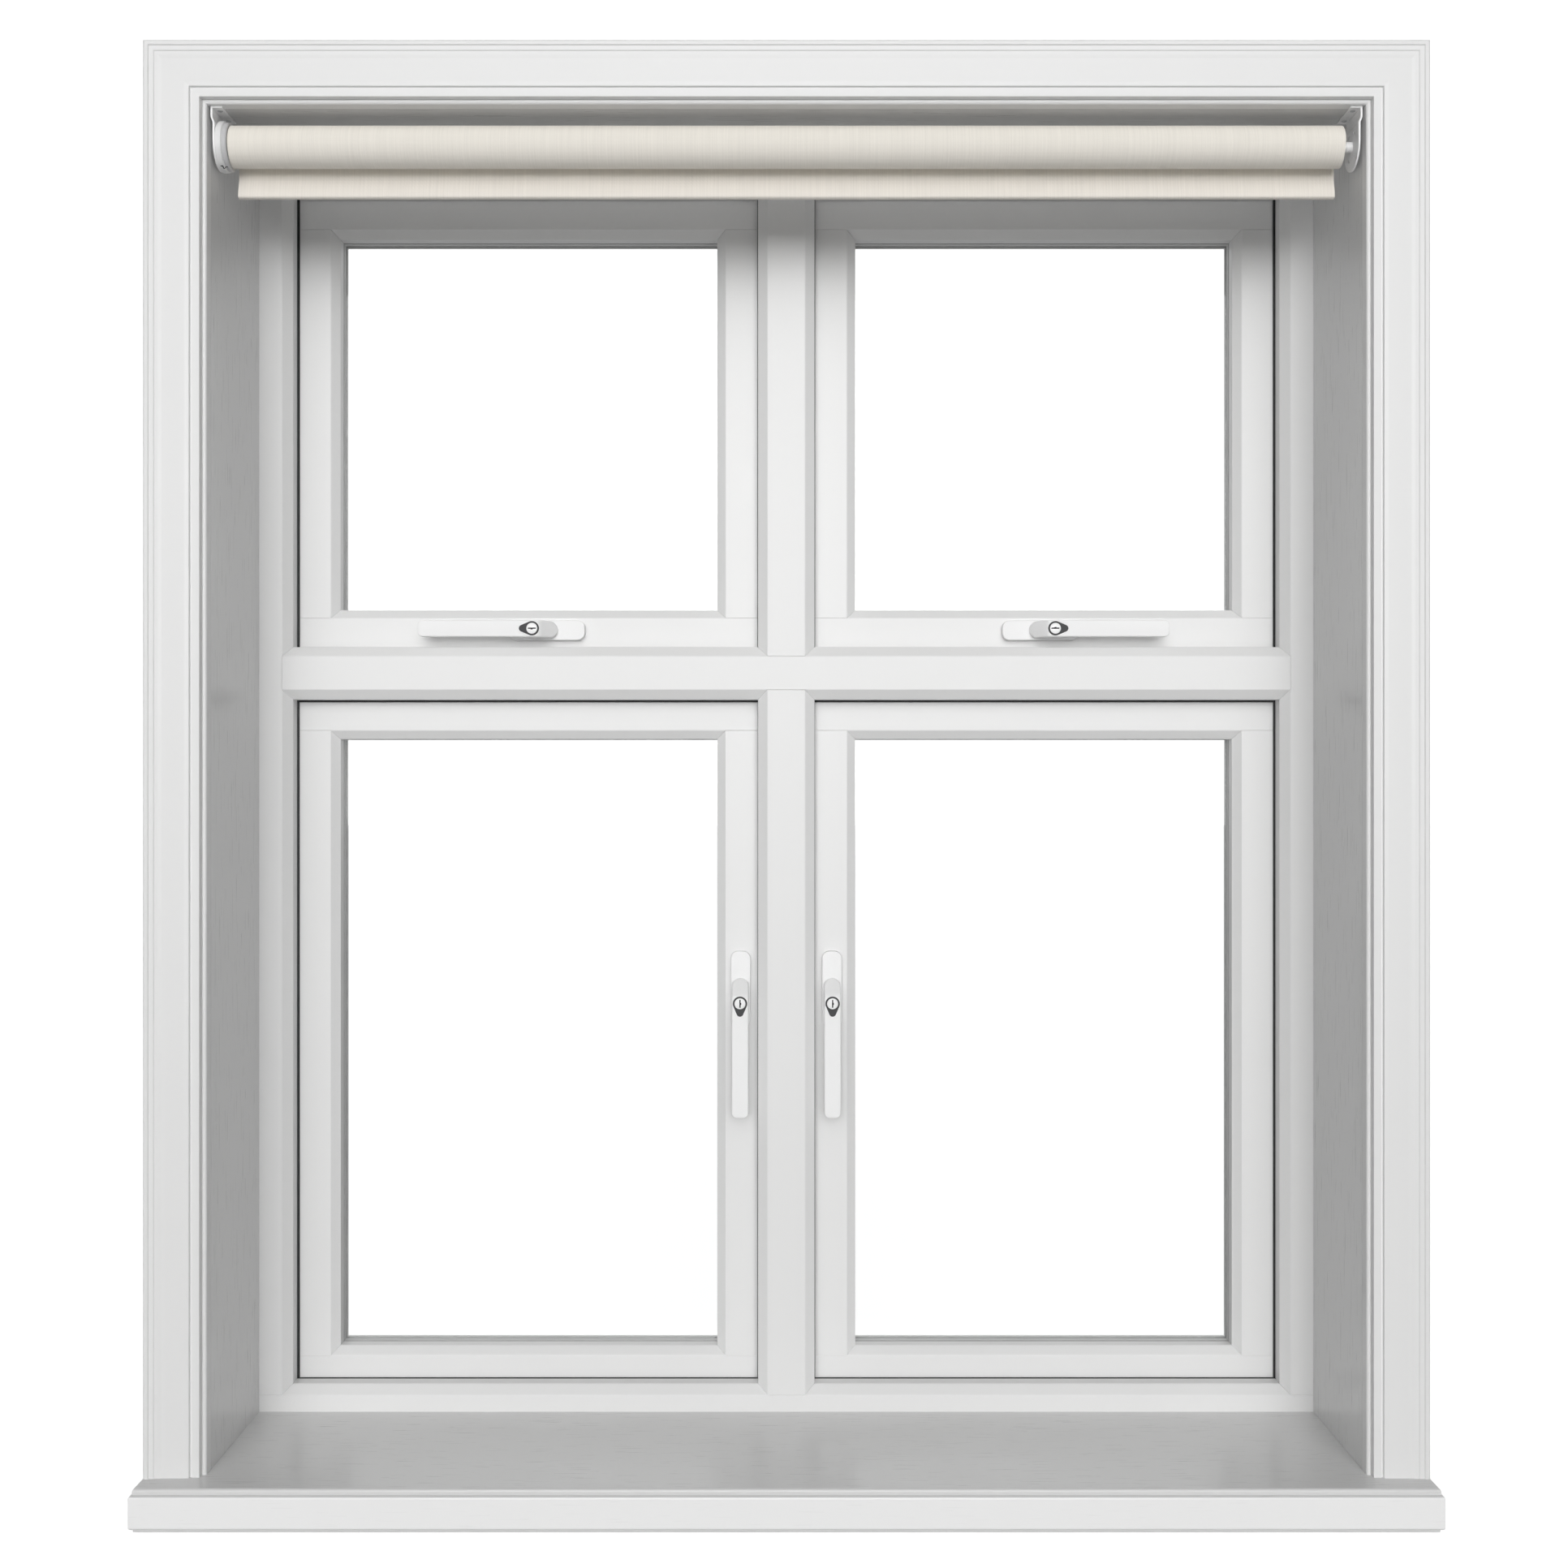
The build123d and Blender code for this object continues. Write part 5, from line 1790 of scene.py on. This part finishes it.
@dataclass
class Studio:
    """Pale floor, soft light and the camera."""

    lobes: tuple[Lobe, ...] = (Lobe(0, 0, 24.0, 8.9), Lobe(20, 0, 16.0, 2.6),
                               Lobe(45, 0, 8.0, 0.56), Lobe(12, 180, 1.6, 1.0))
    floor_glow: float = 0.12
    floor_white: float = 0.9
    backdrop: float = 1.25
    camera_place: tuple[float, float, float] = (-0.0024, -1.8077, 0.6962)
    lens: float = 43.45
    sensor: float = 36.0
    floor_size: float = 60.0
    floor_gap: float = 0.0006

    def lay_floor(self) -> None:
        """A plain pale floor under the window board."""
        bm = bmesh.new()
        low = CAD_BOX[0].z - self.floor_gap
        place = Matrix.Translation((0, 0, low)) @ Matrix.Scale(self.floor_size, 4)
        bmesh.ops.create_grid(bm, x_segments=2, y_segments=2, size=0.5, matrix=place)
        mesh = bpy.data.meshes.new("studio_floor")
        bm.to_mesh(mesh)
        bm.free()
        floor = bpy.data.objects.new("studio_floor", mesh)
        bpy.context.scene.collection.objects.link(floor)
        recipe = Recipe("studio_floor_paint")
        grain = recipe.noise(recipe.place((1, 1, 1)), 3.0, 2.0)
        recipe.link(recipe.mix(grain, (0.46, 0.46, 0.46), (0.48, 0.48, 0.48)),
                    recipe.shader.inputs["Base Color"])
        recipe.set(Roughness=0.9, Specular_IOR_Level=0.0, Emission_Color=(1, 1, 1, 1))
        rays = recipe.node("ShaderNodeLightPath")
        glow = recipe.node("ShaderNodeMix", data_type="FLOAT")
        recipe.link(rays.outputs["Is Camera Ray"], glow.inputs[0])
        glow.inputs[2].default_value = self.floor_glow
        glow.inputs[3].default_value = self.floor_white
        recipe.link(glow.outputs[0], recipe.shader.inputs["Emission Strength"])
        mesh.materials.append(recipe.material)

    def light(self) -> None:
        """A soft room, as a sum of broad lobes of white light around the window."""
        scene = bpy.context.scene
        world = bpy.data.worlds.new("studio_room")
        world.use_nodes = True
        tree = world.node_tree
        room = tree.nodes["Background"]
        room.inputs["Color"].default_value = (1, 1, 1, 1)
        way = tree.nodes.new("ShaderNodeTexCoord").outputs["Generated"]
        total = None
        for lobe in self.lobes:
            share = lobe.build(tree, way)
            if total is None:
                total = share
                continue
            both = tree.nodes.new("ShaderNodeMath")
            both.operation = "ADD"
            tree.links.new(total, both.inputs[0])
            tree.links.new(share, both.inputs[1])
            total = both.outputs["Value"]
        tree.links.new(self.white_to_camera(tree, total), room.inputs["Strength"])
        scene.world = world
        scene.view_settings.view_transform = "Standard"
        scene.view_settings.look = "None"

    def white_to_camera(self, tree: bpy.types.NodeTree,
                        light: bpy.types.NodeSocket) -> bpy.types.NodeSocket:
        """Plain white behind the window, whatever light the room gives.

        Args:
            tree: the world's node tree.
            light: the room's light.

        Returns:
            The strength to use.
        """
        rays = tree.nodes.new("ShaderNodeLightPath")
        pick = tree.nodes.new("ShaderNodeMix")
        pick.data_type = "FLOAT"
        tree.links.new(rays.outputs["Is Camera Ray"], pick.inputs[0])
        tree.links.new(light, pick.inputs[2])
        pick.inputs[3].default_value = self.backdrop
        return pick.outputs[0]

    def stand_camera(self) -> None:
        """Camera straight in front of the window."""
        data = bpy.data.cameras.new("camera")
        data.sensor_width = self.sensor
        data.lens = self.lens
        data.clip_start = 0.05
        camera = bpy.data.objects.new("camera", data)
        camera.location = self.camera_place
        camera.rotation_euler = (math.pi / 2, 0, 0)
        bpy.context.scene.collection.objects.link(camera)
        bpy.context.scene.camera = camera


def main() -> None:
    """Dress the frame and build every finished piece."""
    logging.basicConfig(level=logging.INFO, format="%(message)s")
    studio = Studio()
    studio.stand_camera()
    studio.light()
    studio.lay_floor()
    finishes = Finishes()
    joinery = Joinery(finishes)
    joinery.dress_trim()
    joinery.line_reveal()
    joinery.build_frame()
    furniture = FrameFurniture(finishes)
    furniture.fit_seals()
    furniture.fit_metal()
    furniture.fit_keep_screws()
    for name in SashName:
        sash = SashJoinery(finishes, name)
        sash.build_timber()
        sash.glaze()
        sash.hang()
    HingeScrews(finishes).fit()
    LockingHandle(finishes).fit()
    RollerBlind(finishes).build()


if __name__ == "__main__":
    main()
